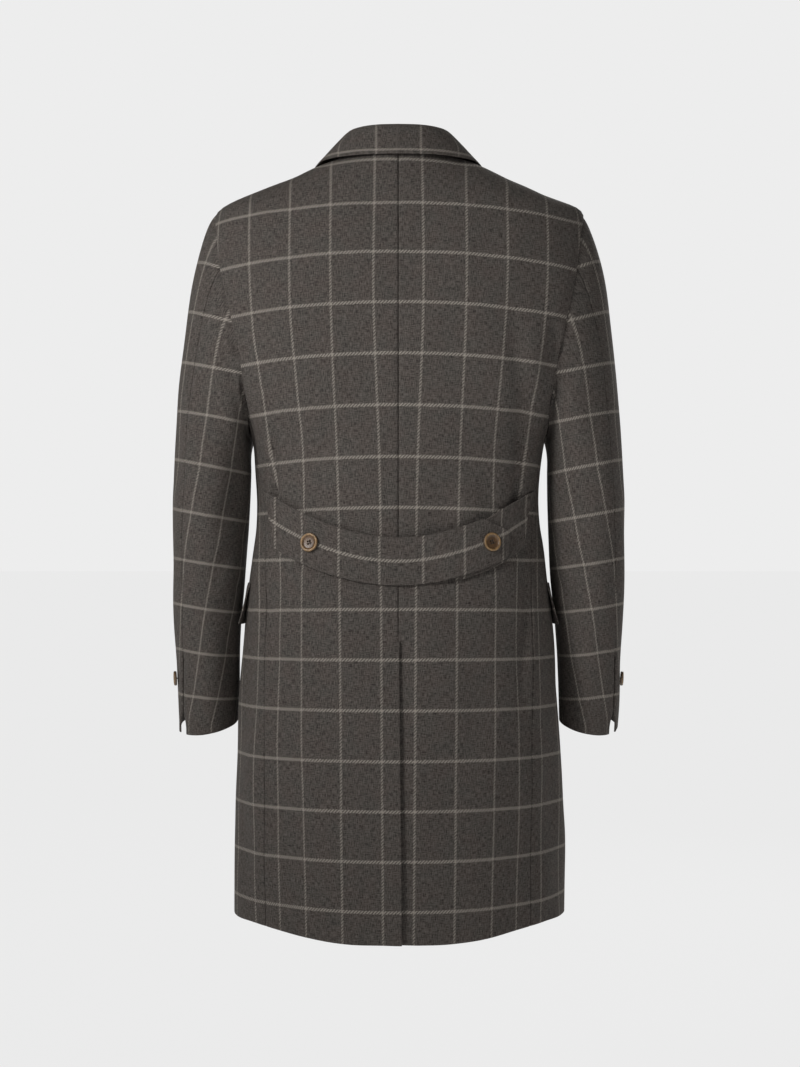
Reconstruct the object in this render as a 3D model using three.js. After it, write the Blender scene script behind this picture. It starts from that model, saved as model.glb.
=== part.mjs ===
import * as THREE from "three";

// A man's tailored overcoat, worn shape, with no wearer. Sizes are in millimetres, +Z is up, the front
// faces -Y and the coat's left side is +X. The origin lies in the middle of the neck opening.

const wall = 2; // thickness of one cloth layer
const seamGap = 0.3; // space between two pieces at a seam
const lieGap = 0.6; // space under a piece that lies on a panel
const hemLevel = -981; // centre back of the hem
const seamTop = -305; // where the side seams meet the armhole
const armholeBottom = -352;
const shoulderTip = -61.5;
const neckLevel = 10;
const sideRise = 16; // the hem is this much higher at the sides than at the centre back
const frontRise = 9; // and this much higher at the centre front
const riseFrom = -560; // below this level the cloth lines begin to rise at the sides
const sideRiseShares = { from: 0.07, to: 0.38 }; // of the way from the centre back to the centre front
const frontRiseShares = { from: 0.6, to: 1 };

// Horizontal sections of the body: half width, depth behind and before the side line, and how square
// the section is.
const sections = [
  { level: -1000, half: 214.5, back: 177, front: 144, power: 2.16 },
  { level: -900, half: 214, back: 173, front: 142, power: 2.16 },
  { level: -800, half: 211.5, back: 167, front: 140, power: 2.17 },
  { level: -700, half: 207, back: 159, front: 137, power: 2.18 },
  { level: -640, half: 203.5, back: 150, front: 134, power: 2.19 },
  { level: -590, half: 199.5, back: 141, front: 131, power: 2.2 },
  { level: -540, half: 194, back: 131, front: 129, power: 2.2 },
  { level: -510, half: 190, back: 125, front: 128, power: 2.2 },
  { level: -470, half: 185, back: 119, front: 127, power: 2.2 },
  { level: -430, half: 183.5, back: 119, front: 128, power: 2.22 },
  { level: -384, half: 187, back: 124, front: 131, power: 2.32 },
  { level: -352, half: 192, back: 129, front: 133, power: 2.48 },
  { level: -326, half: 202, back: 133, front: 134, power: 2.7 },
  { level: -294, half: 216, back: 136, front: 134, power: 2.9 },
  { level: -251, half: 230, back: 138, front: 131, power: 2.9 },
  { level: -207, half: 242, back: 136, front: 125, power: 2.8 },
  { level: -176, half: 248, back: 132, front: 118, power: 2.7 },
  { level: -137, half: 250, back: 125, front: 109, power: 2.55 },
  { level: -90, half: 247, back: 113.5, front: 96, power: 2.33 },
  { level: -61.5, half: 239.6, back: 103, front: 86, power: 2.15 },
  { level: -53.8, half: 232, back: 101, front: 83, power: 2.1 },
  { level: -40.6, half: 204, back: 97, front: 77, power: 2.05 },
  { level: -27.5, half: 172.5, back: 92, front: 70, power: 2.0 },
  { level: -14.5, half: 141, back: 86.5, front: 63, power: 2.0 },
  { level: -1.4, half: 110, back: 80, front: 55, power: 2.0 },
  { level: 10, half: 82, back: 73, front: 46, power: 2.0 },
];

// Where the armhole crosses each level, as distances from the middle, behind and in front.
const armhole = [
  { level: -352, behind: 192, before: 192 },
  { level: -340, behind: 192.6, before: 189.5 },
  { level: -326, behind: 192.8, before: 186.5 },
  { level: -294, behind: 197, before: 185 },
  { level: -251, behind: 203, before: 189 },
  { level: -207, behind: 212, before: 197 },
  { level: -176, behind: 220, before: 205 },
  { level: -137, behind: 229, before: 218 },
  { level: -90, behind: 234.5, before: 230 },
  { level: -61.5, behind: 239.6, before: 239.6 },
];

// Distance of the side seams from the middle, behind and in front.
const sideSeams = [
  { level: -1000, behind: 167, before: 176 },
  { level: -600, behind: 170, before: 165 },
  { level: -470, behind: 172, before: 158 },
  { level: -384, behind: 181, before: 166 },
  { level: -305, behind: 195.4, before: 185.2 },
];

// The line along which the front turns back as a lapel, as distances from the middle.
const rollLine = [
  { level: -318, out: -22 },
  { level: -250, out: 2 },
  { level: -180, out: 25 },
  { level: -110, out: 46 },
  { level: -50, out: 62 },
  { level: -27, out: 67 },
  { level: -1.4, out: 73 },
  { level: 10, out: 74 },
];

// Sleeve sections: how near and how far from the middle, where the centre lies in depth, and half the depth.
const sleeveSections = [
  { level: -400, inner: 192.5, outer: 292, mid: 2, deep: 75 },
  { level: -434, inner: 194, outer: 294.4, mid: 0, deep: 72 },
  { level: -485, inner: 196.5, outer: 295.8, mid: -4, deep: 69 },
  { level: -537, inner: 200, outer: 295.2, mid: -8, deep: 66 },
  { level: -589, inner: 205.5, outer: 293.2, mid: -13, deep: 62 },
  { level: -641, inner: 208.3, outer: 291, mid: -19, deep: 59 },
  { level: -693, inner: 210.6, outer: 289.6, mid: -26, deep: 56 },
  { level: -740, inner: 212, outer: 288, mid: -32, deep: 54 },
];
const cuffLevel = -725;
const cuffSlant = 12; // the cuff is this much lower behind and higher in front
const cuffLean = 5; // and this much lower outside
const slantFrom = -640; // the slant grows from this level down
const sleeveTwist = THREE.MathUtils.degToRad(-11); // the hind seam turns outwards towards the cuff
const twistLevels = { from: -480, to: -700 };
const cuffVentNotch = 7; // how far each side of the vent is cut back at the cuff

// Smooth curve through a table's column.
function through(table, column, level) {
  const up = table[0].level < table[table.length - 1].level;
  const rows = up ? table : [...table].reverse();
  const last = rows.length - 1;
  const at = THREE.MathUtils.clamp(level, rows[0].level, rows[last].level);
  let i = 0;
  while (i < last - 1 && rows[i + 1].level < at) i += 1;
  const slope = (a, b) => (rows[b][column] - rows[a][column]) / (rows[b].level - rows[a].level);
  const gap = rows[i + 1].level - rows[i].level;
  const t = (at - rows[i].level) / gap;
  const start = slope(Math.max(i - 1, 0), i + 1) * gap;
  const end = slope(i, Math.min(i + 2, last)) * gap;
  const h = t * t * (3 - 2 * t);
  const p = rows[i][column];
  const q = rows[i + 1][column];
  return p + (q - p) * h + start * t * (1 - t) * (1 - t) - end * t * t * (1 - t);
}

const rowAt = (table, columns, level) => columns.map((column) => through(table, column, level));

// Goes from 0 to 1 as the value goes from one end of a range to the other, whichever is the greater.
function smooth(from, to, value) {
  const t = THREE.MathUtils.clamp((value - from) / (to - from), 0, 1);
  return t * t * (3 - 2 * t);
}
const mix = THREE.MathUtils.lerp;

// Half of a section, from the centre back round the left side to the centre front, with running lengths.
const ringSteps = 96;
const rings = new Map();
function ring(level) {
  const key = level.toFixed(3);
  if (rings.has(key)) return rings.get(key);
  const [half, back, front, power] = rowAt(sections, ["half", "back", "front", "power"], level);
  const points = [];
  const lengths = [0];
  for (let i = 0; i <= ringSteps; i += 1) {
    const turn = (Math.PI * i) / ringSteps;
    const side = Math.pow(Math.abs(Math.sin(turn)), 2 / power);
    const depth = Math.pow(Math.abs(Math.cos(turn)), 2 / power);
    points.push(new THREE.Vector2(half * side, i <= ringSteps / 2 ? back * depth : -front * depth));
    if (i > 0) lengths.push(lengths[i - 1] + points[i].distanceTo(points[i - 1]));
  }
  const made = { points, lengths, girth: lengths[ringSteps] };
  rings.set(key, made);
  return made;
}

// A point at a running length from the centre back. Lengths past either centre go on to the other side.
function onRing(level, length) {
  const { points, lengths, girth } = ring(level);
  const past = length > girth;
  const run = past ? 2 * girth - length : Math.abs(length);
  const side = past || length < 0 ? -1 : 1;
  let i = 0;
  while (i < ringSteps - 1 && lengths[i + 1] < run) i += 1;
  const t = (run - lengths[i]) / (lengths[i + 1] - lengths[i]);
  const p = points[i].clone().lerp(points[i + 1], t);
  return new THREE.Vector2(side * p.x, p.y);
}

// The running length at which a section is a given distance from the middle, behind or in front.
function lengthAt(level, out, place) {
  const { points, lengths, girth } = ring(level);
  const want = Math.min(Math.abs(out), through(sections, "half", level));
  const half = ringSteps / 2;
  const behind = place === "behind";
  let i = behind ? 0 : ringSteps;
  const step = behind ? 1 : -1;
  while (i !== half - step && i !== half && points[i + step].x < want) i += step;
  if (i === half) return lengths[half];
  const p = points[i];
  const q = points[i + step];
  const t = THREE.MathUtils.clamp((want - p.x) / (q.x - p.x), 0, 1);
  const run = mix(lengths[i], lengths[i + step], t);
  if (out >= 0) return run;
  return behind ? -run : 2 * girth - run;
}

const ridgeLength = (level) => ring(level).lengths[ringSteps / 2];

// The body's outer surface. Below the waist the cloth's level lines rise towards the sides.
function body(level, length) {
  const { girth } = ring(level);
  const part = Math.min(Math.abs(length), 2 * girth - Math.abs(length)) / girth;
  const atSide = sideRise * smooth(sideRiseShares.from, sideRiseShares.to, part);
  const rise = mix(atSide, frontRise, smooth(frontRiseShares.from, frontRiseShares.to, part));
  const height = level + rise * smooth(riseFrom, hemLevel, level);
  const p = onRing(level, length);
  return new THREE.Vector3(p.x, p.y, height);
}

const normalStep = 2; // how far from a point its neighbours are taken to find which way it faces
function bodyNormal(level, length) {
  const along = body(level, length + normalStep).sub(body(level, length - normalStep));
  const up = body(level + normalStep, length).sub(body(level - normalStep, length));
  return up.cross(along).normalize();
}

const lift = (level, length, out) => body(level, length).addScaledVector(bodyNormal(level, length), out);

// A closed wall between two grids of points. Rows run up and columns run round to the left.
function wallOf(outside, inside, mirrored) {
  const rows = outside.length;
  const cols = outside[0].length;
  const position = [];
  const index = [];
  for (const grid of [outside, inside])
    for (const row of grid) for (const p of row) position.push(mirrored ? -p.x : p.x, p.y, p.z);
  const at = (side, i, j) => (side * rows + i) * cols + j;
  const quad = (a, b, c, d) => {
    if (mirrored) index.push(a, c, b, a, d, c);
    else index.push(a, b, c, a, c, d);
  };
  for (let i = 0; i < rows - 1; i += 1)
    for (let j = 0; j < cols - 1; j += 1) {
      quad(at(0, i, j), at(0, i + 1, j), at(0, i + 1, j + 1), at(0, i, j + 1));
      quad(at(1, i, j), at(1, i, j + 1), at(1, i + 1, j + 1), at(1, i + 1, j));
    }
  for (let i = 0; i < rows - 1; i += 1) {
    quad(at(0, i, 0), at(1, i, 0), at(1, i + 1, 0), at(0, i + 1, 0));
    quad(at(0, i, cols - 1), at(0, i + 1, cols - 1), at(1, i + 1, cols - 1), at(1, i, cols - 1));
  }
  for (let j = 0; j < cols - 1; j += 1) {
    quad(at(0, 0, j), at(0, 0, j + 1), at(1, 0, j + 1), at(1, 0, j));
    quad(at(0, rows - 1, j), at(1, rows - 1, j), at(1, rows - 1, j + 1), at(0, rows - 1, j + 1));
  }
  const geometry = new THREE.BufferGeometry();
  geometry.setAttribute("position", new THREE.Float32BufferAttribute(position, 3));
  geometry.setIndex(index);
  geometry.computeVertexNormals();
  return geometry;
}

const cloth = { color: 0x4a4641, roughness: 0.95, metalness: 0 };
const horn = { color: 0x6b4a2c, roughness: 0.35, metalness: 0 };
const coat = new THREE.Group();

function add(name, geometry, look) {
  const mesh = new THREE.Mesh(geometry, new THREE.MeshStandardMaterial(look));
  mesh.name = name;
  coat.add(mesh);
  return mesh;
}

// A panel that follows the body. Each place has a level, a running length and how far out its face lies.
function addPanel(name, rows, cols, place, mirrored = false, thick = wall) {
  const outside = [];
  const inside = [];
  for (let i = 0; i <= rows; i += 1) {
    outside.push([]);
    inside.push([]);
    for (let j = 0; j <= cols; j += 1) {
      const { level, length, out } = place(i, j);
      outside[i].push(lift(level, length, out));
      inside[i].push(lift(level, length, out - thick));
    }
  }
  return add(name, wallOf(outside, inside, mirrored), cloth);
}

// Levels that all the body's panels share, so that their seams meet point to point.
const skirtLevels = [
  hemLevel, -940, -895, -850, -805, -760, -715, -670, -640, -621, -609, -597, -565, -535, -505, -475, -445,
  -415, -385, -358, -331, seamTop,
];
const armholeLevels = [-278, -251, -222, -194, -165, -137, -110, -88, -72, shoulderTip];
const shoulderLevels = [-51, -39, -27, -14, -2, neckLevel];
const bodyLevels = [...skirtLevels, ...armholeLevels, ...shoulderLevels];
const halfSeam = seamGap / 2;

function backEdge(level) {
  if (level >= shoulderTip) return ridgeLength(level);
  const table = level > seamTop ? armhole : sideSeams;
  return lengthAt(level, through(table, "behind", level), "behind");
}

function frontSideEdge(level) {
  if (level >= shoulderTip) return ridgeLength(level);
  const table = level > seamTop ? armhole : sideSeams;
  return lengthAt(level, through(table, "before", level), "before");
}

// The back vent: the left panel laps over, and the right one dips and runs on under it.
const ventTop = -609;
const ventLap = 3;
const ventUnder = 34;
const ventDip = 3.2;
const ventDipStart = 4; // the dip eases out between this distance from the centre and ventUnder
const backCols = 8;

function backStart(level, laps) {
  if (level >= ventTop) return halfSeam;
  return laps ? -ventLap : -ventUnder;
}

function addBack(name, laps, mirrored) {
  addPanel(name, bodyLevels.length - 1, backCols, (i, j) => {
    const level = bodyLevels[i];
    const length = mix(backStart(level, laps), backEdge(level) - halfSeam, j / backCols);
    const dips = !laps && level <= ventTop;
    return { level, length, out: dips ? -ventDip * (1 - smooth(ventDipStart, ventUnder, length)) : 0 };
  }, mirrored);
}

addBack("back_left", true, false);
addBack("back_right", false, true);

// The lower part of the armhole, which is the top edge of the side panel, from behind to in front.
const sideCols = 8;
function armholeFloor(j) {
  const turn = (Math.PI * j) / sideCols;
  const level = armholeBottom + (seamTop - armholeBottom) * Math.cos(turn) ** 2;
  if (j === sideCols / 2) return { level, length: ridgeLength(level) };
  const place = j < sideCols / 2 ? "behind" : "before";
  return { level, length: lengthAt(level, through(armhole, place, level), place) };
}

function addSide(name, mirrored) {
  addPanel(name, skirtLevels.length - 1, sideCols, (i, j) => {
    const top = armholeFloor(j);
    const from = backEdge(top.level);
    const share = THREE.MathUtils.clamp((top.length - from) / (frontSideEdge(top.level) - from), 0, 1);
    const level = mix(hemLevel, top.level, (skirtLevels[i] - hemLevel) / (seamTop - hemLevel));
    const length = mix(backEdge(level) + halfSeam, frontSideEdge(level) - halfSeam, share);
    return { level, length, out: 0 };
  }, mirrored);
}

addSide("side_left", false);
addSide("side_right", true);

// The fronts reach past the middle by the button stand, and the right one dips under the left one.
const frontCols = 8;
const frontDip = 3.4;
const lapelDip = 4; // more where a lapel lies on it
const panelDip = 1.2; // the panel dips this much further than its lapel
const lapelDipLevels = { from: -345, to: -318 };
const dipReach = { from: -80, to: -26 }; // distances past the centre front between which the dip grows
function underLap(level, length, further = 0) {
  const depth = frontDip + (lapelDip + further) * smooth(lapelDipLevels.from, lapelDipLevels.to, level);
  return depth * smooth(dipReach.from, dipReach.to, length - ring(level).girth);
}

function frontEdge(level) {
  return lengthAt(level, through(rollLine, "out", level), "before");
}

function addFront(name, under, mirrored) {
  addPanel(name, bodyLevels.length - 1, frontCols, (i, j) => {
    const level = bodyLevels[i];
    const length = mix(frontSideEdge(level) + halfSeam, frontEdge(level), j / frontCols);
    return { level, length, out: under ? -underLap(level, length, panelDip) : 0 };
  }, mirrored);
}

addFront("front_left", false, false);
addFront("front_right", true, true);

// The lapels lie on the fronts. Their width is measured from the roll line.
const lapelWidths = [
  { level: -314, wide: 4 },
  { level: -285, wide: 34 },
  { level: -240, wide: 60 },
  { level: -190, wide: 80 },
  { level: -130, wide: 94 },
  { level: -80, wide: 101 },
  { level: -50, wide: 104 },
];
const lapelFoot = -314;
const gorgeTop = -50;
const gorgeSlope = 0.42;
const lapelSwell = 1.2; // the roll lies this much higher than the outer edge
const lapelRows = 14;
const lapelCols = 6;

function addLapel(name, under, mirrored) {
  addPanel(name, lapelRows, lapelCols, (i, j) => {
    const climb = i / lapelRows;
    const root = mix(lapelFoot, gorgeTop, climb);
    const far = through(lapelWidths, "wide", root) * (1 - j / lapelCols);
    const level = root - gorgeSlope * climb * climb * far;
    const length = ring(level).girth - (ring(root).girth - frontEdge(root) + far);
    const dip = under ? underLap(level, length) : 0;
    return { level, length, out: wall + lieGap + lapelSwell * (j / lapelCols) ** 2 - dip };
  }, mirrored);
}

addLapel("lapel_left", false, false);
addLapel("lapel_right", true, true);

// The collar: where its seam, its fold and its outer edge run, from the centre back to its front end.
const collarLines = {
  seam: [
    { level: 0, x: 0, y: 71.8, z: 10.5 },
    { level: 1, x: 32.5, y: 66.3, z: 10.5 },
    { level: 2, x: 57, y: 50.8, z: 10.5 },
    { level: 3, x: 74.5, y: 27.5, z: 10.8 },
    { level: 4, x: 80, y: 0, z: 11.2 },
    { level: 5, x: 75.5, y: -14, z: 11.6 },
    { level: 6, x: 70.5, y: -37, z: 3.5 },
    { level: 7, x: 65, y: -60, z: -23 },
    { level: 8, x: 59.5, y: -76, z: -48 },
  ],
  fold: [
    { level: 0, x: 0, y: 57, z: 47 },
    { level: 1, x: 25, y: 53.5, z: 47 },
    { level: 2, x: 45.5, y: 41.5, z: 46.5 },
    { level: 3, x: 59, y: 23, z: 45 },
    { level: 4, x: 63, y: 0, z: 41 },
    { level: 5, x: 65.5, y: -16, z: 33 },
    { level: 6, x: 66, y: -42, z: 18 },
    { level: 7, x: 62, y: -66, z: -12 },
    { level: 8, x: 58.5, y: -84, z: -45 },
  ],
  edge: [
    { level: 0, x: 0, y: 82, z: 6 },
    { level: 1, x: 41, y: 75.5, z: 6 },
    { level: 2, x: 77, y: 57, z: 5.5 },
    { level: 3, x: 98, y: 31, z: 5.5 },
    { level: 4, x: 106.5, y: 0, z: 4.5 },
    { level: 5, x: 110.5, y: -21, z: 1 },
    { level: 6, x: 114, y: -47, z: -13 },
    { level: 7, x: 110, y: -72, z: -39 },
    { level: 8, x: 101, y: -86, z: -64 },
  ],
};
const collarSpans = 16; // to each side of the centre back
const collarThick = 1.7;
const collarSwell = 0.8;
const foldTurn = 2.6; // half the width of the fold
const foldTight = 0.6; // share of it that is left where the fold is tightest
const foldDrop = 4;
const foldDropShare = 0.4; // the most of the stand that the drop may take

function collarSection(station) {
  const at = (line) => {
    const [x, y, z] = rowAt(line, ["x", "y", "z"], Math.abs(station));
    return new THREE.Vector3(Math.sign(station) * x, y, z);
  };
  const [seam, fold, edge] = [at(collarLines.seam), at(collarLines.fold), at(collarLines.edge)];
  const down = edge.clone().sub(fold).normalize();
  const inner = seam.clone().sub(fold).normalize();
  const across = down.clone().sub(inner).normalize();
  const turn = foldTurn * mix(foldTight, 1, down.dot(inner));
  const drop = Math.min(foldDrop, seam.distanceTo(fold) * foldDropShare);
  const inside = fold.clone().addScaledVector(inner, drop).addScaledVector(across, -turn);
  const outside = fold.clone().addScaledVector(down, foldDrop).addScaledVector(across, turn);
  const swell = across.clone().multiplyScalar(collarSwell);
  return [
    seam,
    seam.clone().lerp(inside, 0.5),
    inside,
    fold,
    outside,
    outside.clone().lerp(edge, 0.35).add(swell),
    outside.clone().lerp(edge, 0.7).addScaledVector(swell, 0.7),
    edge,
  ];
}

// A wall of even thickness on both sides of a grid of points.
function wallAbout(grid, thick) {
  const rows = grid.length - 1;
  const cols = grid[0].length - 1;
  const faces = [1, -1].map((side) => grid.map((row, i) => row.map((p, j) => {
    const up = grid[Math.min(i + 1, rows)][j].clone().sub(grid[Math.max(i - 1, 0)][j]);
    const along = row[Math.min(j + 1, cols)].clone().sub(row[Math.max(j - 1, 0)]);
    return p.clone().addScaledVector(up.cross(along).normalize(), (side * thick) / 2);
  })));
  return wallOf(faces[0], faces[1], false);
}

const lastStation = collarLines.seam[collarLines.seam.length - 1].level;
const collarSections = [];
for (let i = -collarSpans; i <= collarSpans; i += 1)
  collarSections.push(collarSection((lastStation * i) / collarSpans));
const collarGrid = collarSections[0].map((_, row) => collarSections.map((section) => section[row]));
add("collar", wallAbout(collarGrid, collarThick), cloth);

// The armhole's points, from the shoulder tip down behind, under the arm and up in front.
function armholeLoop() {
  const loop = [{ level: shoulderTip, length: ridgeLength(shoulderTip) }];
  const edgeLevels = [seamTop, ...armholeLevels.slice(0, -1)];
  for (const level of [...edgeLevels].reverse()) loop.push({ level, length: backEdge(level) });
  for (let j = 1; j < sideCols; j += 1) loop.push(armholeFloor(j));
  for (const level of edgeLevels) loop.push({ level, length: frontSideEdge(level) });
  return loop.map((p) => body(p.level, p.length));
}

const armholePoints = armholeLoop();
const armholeCentre = new THREE.Vector3(212, 0, -205);
const hindSeam = 4; // the loop's point where the hind seam starts
const foreSeam = 20; // and the one where the fore seam starts
const sleeveHead = [0.84, 0.68, 0.52, 0.38, 0.25, 0.13, 0.05, 0];
const sleeveLevels = [cuffLevel, -712, -680, -640, -600, -560, -520, -480, -440, -400];

function armholeTurns() {
  const runs = [0];
  const count = armholePoints.length;
  for (let k = 1; k <= count; k += 1)
    runs.push(runs[k - 1] + armholePoints[k % count].distanceTo(armholePoints[k - 1]));
  return runs.slice(0, count).map((run) => (2 * Math.PI * run) / runs[count]);
}
const turns = armholeTurns();

function sleeveRing(level, turn) {
  const [inner, outer, mid, deep] = rowAt(sleeveSections, ["inner", "outer", "mid", "deep"], level);
  const angle = turn + sleeveTwist * smooth(twistLevels.from, twistLevels.to, level);
  const slant = cuffSlant * Math.sin(angle) + cuffLean * Math.cos(angle);
  const drop = slant * smooth(slantFrom, cuffLevel, level);
  const x = (inner + outer) / 2 + ((outer - inner) / 2) * Math.cos(angle);
  return new THREE.Vector3(x, mid + deep * Math.sin(angle), level - drop);
}

// The sleeve head leaves the armhole outwards and bends down to the upper arm. Each part of the way it
// sets out has a share for the whole armhole and one that grows towards the shoulder tip.
const headOut = { all: 60, tip: 42 };
const headBack = 14;
const headUp = { all: -62, tip: -25 };
const armLean = 0.04;
const armPull = 0.95;

function sleevePoint(k, row) {
  const count = armholePoints.length;
  const turn = turns[k % count];
  if (row < sleeveLevels.length) return sleeveRing(sleeveLevels[row], turn);
  const t = sleeveHead[row - sleeveLevels.length];
  const leave = new THREE.Vector3(
    headOut.all + headOut.tip * Math.cos(turn),
    headBack * Math.sin(turn),
    headUp.all + headUp.tip * Math.cos(turn),
  );
  const start = armholePoints[k % count].clone().addScaledVector(leave.clone().normalize(), 2 * seamGap);
  const end = sleeveRing(sleeveLevels[sleeveLevels.length - 1], turn);
  const arrive = new THREE.Vector3(armLean, 0, -1).multiplyScalar(start.distanceTo(end) * armPull);
  return new THREE.Vector3()
    .addScaledVector(start, 2 * t ** 3 - 3 * t ** 2 + 1)
    .addScaledVector(leave, t ** 3 - 2 * t ** 2 + t)
    .addScaledVector(end, 3 * t ** 2 - 2 * t ** 3)
    .addScaledVector(arrive, t ** 3 - t ** 2);
}

// One half of a sleeve, from one loop point round to another, the way the panels' columns run.
function addSleeve(name, from, to, mirrored) {
  const count = armholePoints.length;
  const cols = (from - to + count) % count;
  const rows = sleeveLevels.length + sleeveHead.length;
  const outside = [];
  const inside = [];
  for (let i = 0; i < rows; i += 1) {
    outside.push([]);
    inside.push([]);
    for (let j = 0; j <= cols; j += 1) {
      const k = (from - j + count) % count;
      const p = sleevePoint(k, i);
      const up = sleevePoint(k, Math.min(i + 1, rows - 1)).sub(sleevePoint(k, Math.max(i - 1, 0)));
      const along = sleevePoint((k - 1 + count) % count, i).sub(sleevePoint((k + 1) % count, i)).normalize();
      const inward = up.cross(along).normalize().negate();
      if (i === rows - 1) inward.copy(armholeCentre).sub(p).setX(0).normalize();
      const notch = cuffVentNotch * (i === 0 ? 1 : 0);
      if (j === 0) p.addScaledVector(along, halfSeam + (k === hindSeam ? notch : 0));
      if (j === cols) p.addScaledVector(along, -halfSeam - (k === hindSeam ? notch : 0));
      outside[i].push(p);
      inside[i].push(p.clone().addScaledVector(inward, wall));
    }
  }
  add(name, wallOf(outside, inside, mirrored), cloth);
}

for (const [side, mirrored] of [["left", false], ["right", true]]) {
  addSleeve("sleeve_top_" + side, hindSeam, foreSeam, mirrored);
  addSleeve("sleeve_under_" + side, foreSeam, hindSeam, mirrored);
}

// The half belt hangs in a curve between the side seams. The long piece is buttoned over the short one.
const beltWidth = 60;
const beltMiddle = -511;
const beltSag = 0.002;
const beltLevel = (x) => beltMiddle + beltSag * x * x;

// Where the belt's pieces end, from the lower edge (-1) to the upper edge (1). The tip is the long piece's.
const beltEnds = [
  { level: -1, tip: -124, seam: 146.7 },
  { level: 0, tip: -138, seam: 165.3 },
  { level: 1, tip: -116, seam: 181.1 },
];
const shortEnd = -66;
const shortDrop = { from: -110, to: -150, by: 4 }; // the short piece hangs lower towards its seam
const beltLap = { from: -36, to: -64 }; // where the long piece steps up over the short one

function addBelt(name, cols, ends, drop, out) {
  addPanel(name, 4, cols, (i, j) => {
    const across = i / 2 - 1;
    const [from, to] = ends(across);
    const run = mix(lengthAt(beltMiddle, from, "behind"), lengthAt(beltMiddle, to, "behind"), j / cols);
    const x = onRing(beltMiddle, run).x;
    const slope = Math.atan(2 * beltSag * x);
    const off = (across * beltWidth) / 2;
    const level = beltLevel(x) + off * Math.cos(slope) - drop(x);
    return { level, length: run - off * Math.sin(slope), out: out(x) };
  });
}

const beltEnd = (column, across) => through(beltEnds, column, across);
addBelt("belt_long", 24, (across) => [beltEnd("tip", across), beltEnd("seam", across)], () => 0,
  (x) => wall + lieGap + (wall + 2 * lieGap) * smooth(beltLap.from, beltLap.to, x));
addBelt("belt_short", 12, (across) => [-beltEnd("seam", across), shortEnd],
  (x) => shortDrop.by * smooth(shortDrop.from, shortDrop.to, x), () => wall + lieGap);

// Hip pocket flaps. The back lower corner stands away from the body.
const flap = { top: -540, foot: -594, back: 34, front: 108 };
const flapKick = { by: 9, columns: 3.5, curve: 1.6 };
for (const [side, mirrored] of [["left", false], ["right", true]])
  addPanel("pocket_flap_" + side, 4, 14, (i, j) => {
    const level = mix(flap.foot, flap.top, i / 4);
    const ridge = ridgeLength(level);
    const length = mix(ridge - flap.back, ridge + flap.front, j / 14);
    const kick = flapKick.by * Math.max(0, 1 - j / flapKick.columns) ** flapKick.curve * (1 - i / 4);
    return { level, length, out: wall + lieGap + kick };
  }, mirrored);

// Sew-through buttons with a raised rim and a dished middle. The profile is in shares of the button's
// radius and thickness, from the middle of its back round to the middle of its face.
const buttonTurns = 14;
const buttonProfile = [
  { out: 0, up: 0 },
  { out: 0.86, up: 0 },
  { out: 1, up: 0.3 },
  { out: 1, up: 0.65 },
  { out: 0.9, up: 1 },
  { out: 0.74, up: 1 },
  { out: 0.6, up: 0.6 },
  { out: 0, up: 0.5 },
];
const bodyButton = { radius: 12, thick: 4 };
const cuffButton = { radius: 9.5, thick: 3.6, level: -664, turn: THREE.MathUtils.degToRad(24) };

function addButton(name, place, facing, size) {
  const profile = buttonProfile.map(({ out, up }) => new THREE.Vector2(out * size.radius, up * size.thick));
  const mesh = add(name, new THREE.LatheGeometry(profile, buttonTurns), horn);
  mesh.position.copy(place);
  mesh.quaternion.setFromUnitVectors(new THREE.Vector3(0, 1, 0), facing);
}

const onBelt = wall + 2 * lieGap;
const onBeltLap = 2 * wall + 4 * lieGap;
const bodyButtons = [
  { name: "belt_button_left", x: 110, level: -488, place: "behind", lifted: onBelt },
  { name: "belt_button_right", x: -114, level: -488, place: "behind", lifted: onBeltLap },
  { name: "front_button_1", x: 0, level: -335, place: "before", lifted: lieGap },
  { name: "front_button_2", x: 0, level: -440, place: "before", lifted: lieGap },
  { name: "front_button_3", x: 0, level: -545, place: "before", lifted: lieGap },
];
for (const { name, x, level, place, lifted } of bodyButtons) {
  const length = lengthAt(level, x, place);
  addButton(name, lift(level, length, lifted), bodyNormal(level, length), bodyButton);
}

function addCuffButton(name, side) {
  const { level, turn } = cuffButton;
  const place = sleeveRing(level, turn);
  const along = sleeveRing(level, turn - 0.05).sub(sleeveRing(level, turn + 0.05));
  const up = sleeveRing(level + normalStep, turn).sub(sleeveRing(level - normalStep, turn));
  const facing = up.cross(along).normalize();
  place.addScaledVector(facing, lieGap);
  place.x *= side;
  facing.x *= side;
  addButton(name, place, facing, cuffButton);
}
addCuffButton("cuff_button_left", 1);
addCuffButton("cuff_button_right", -1);

export default coat;
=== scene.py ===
import math

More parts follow.
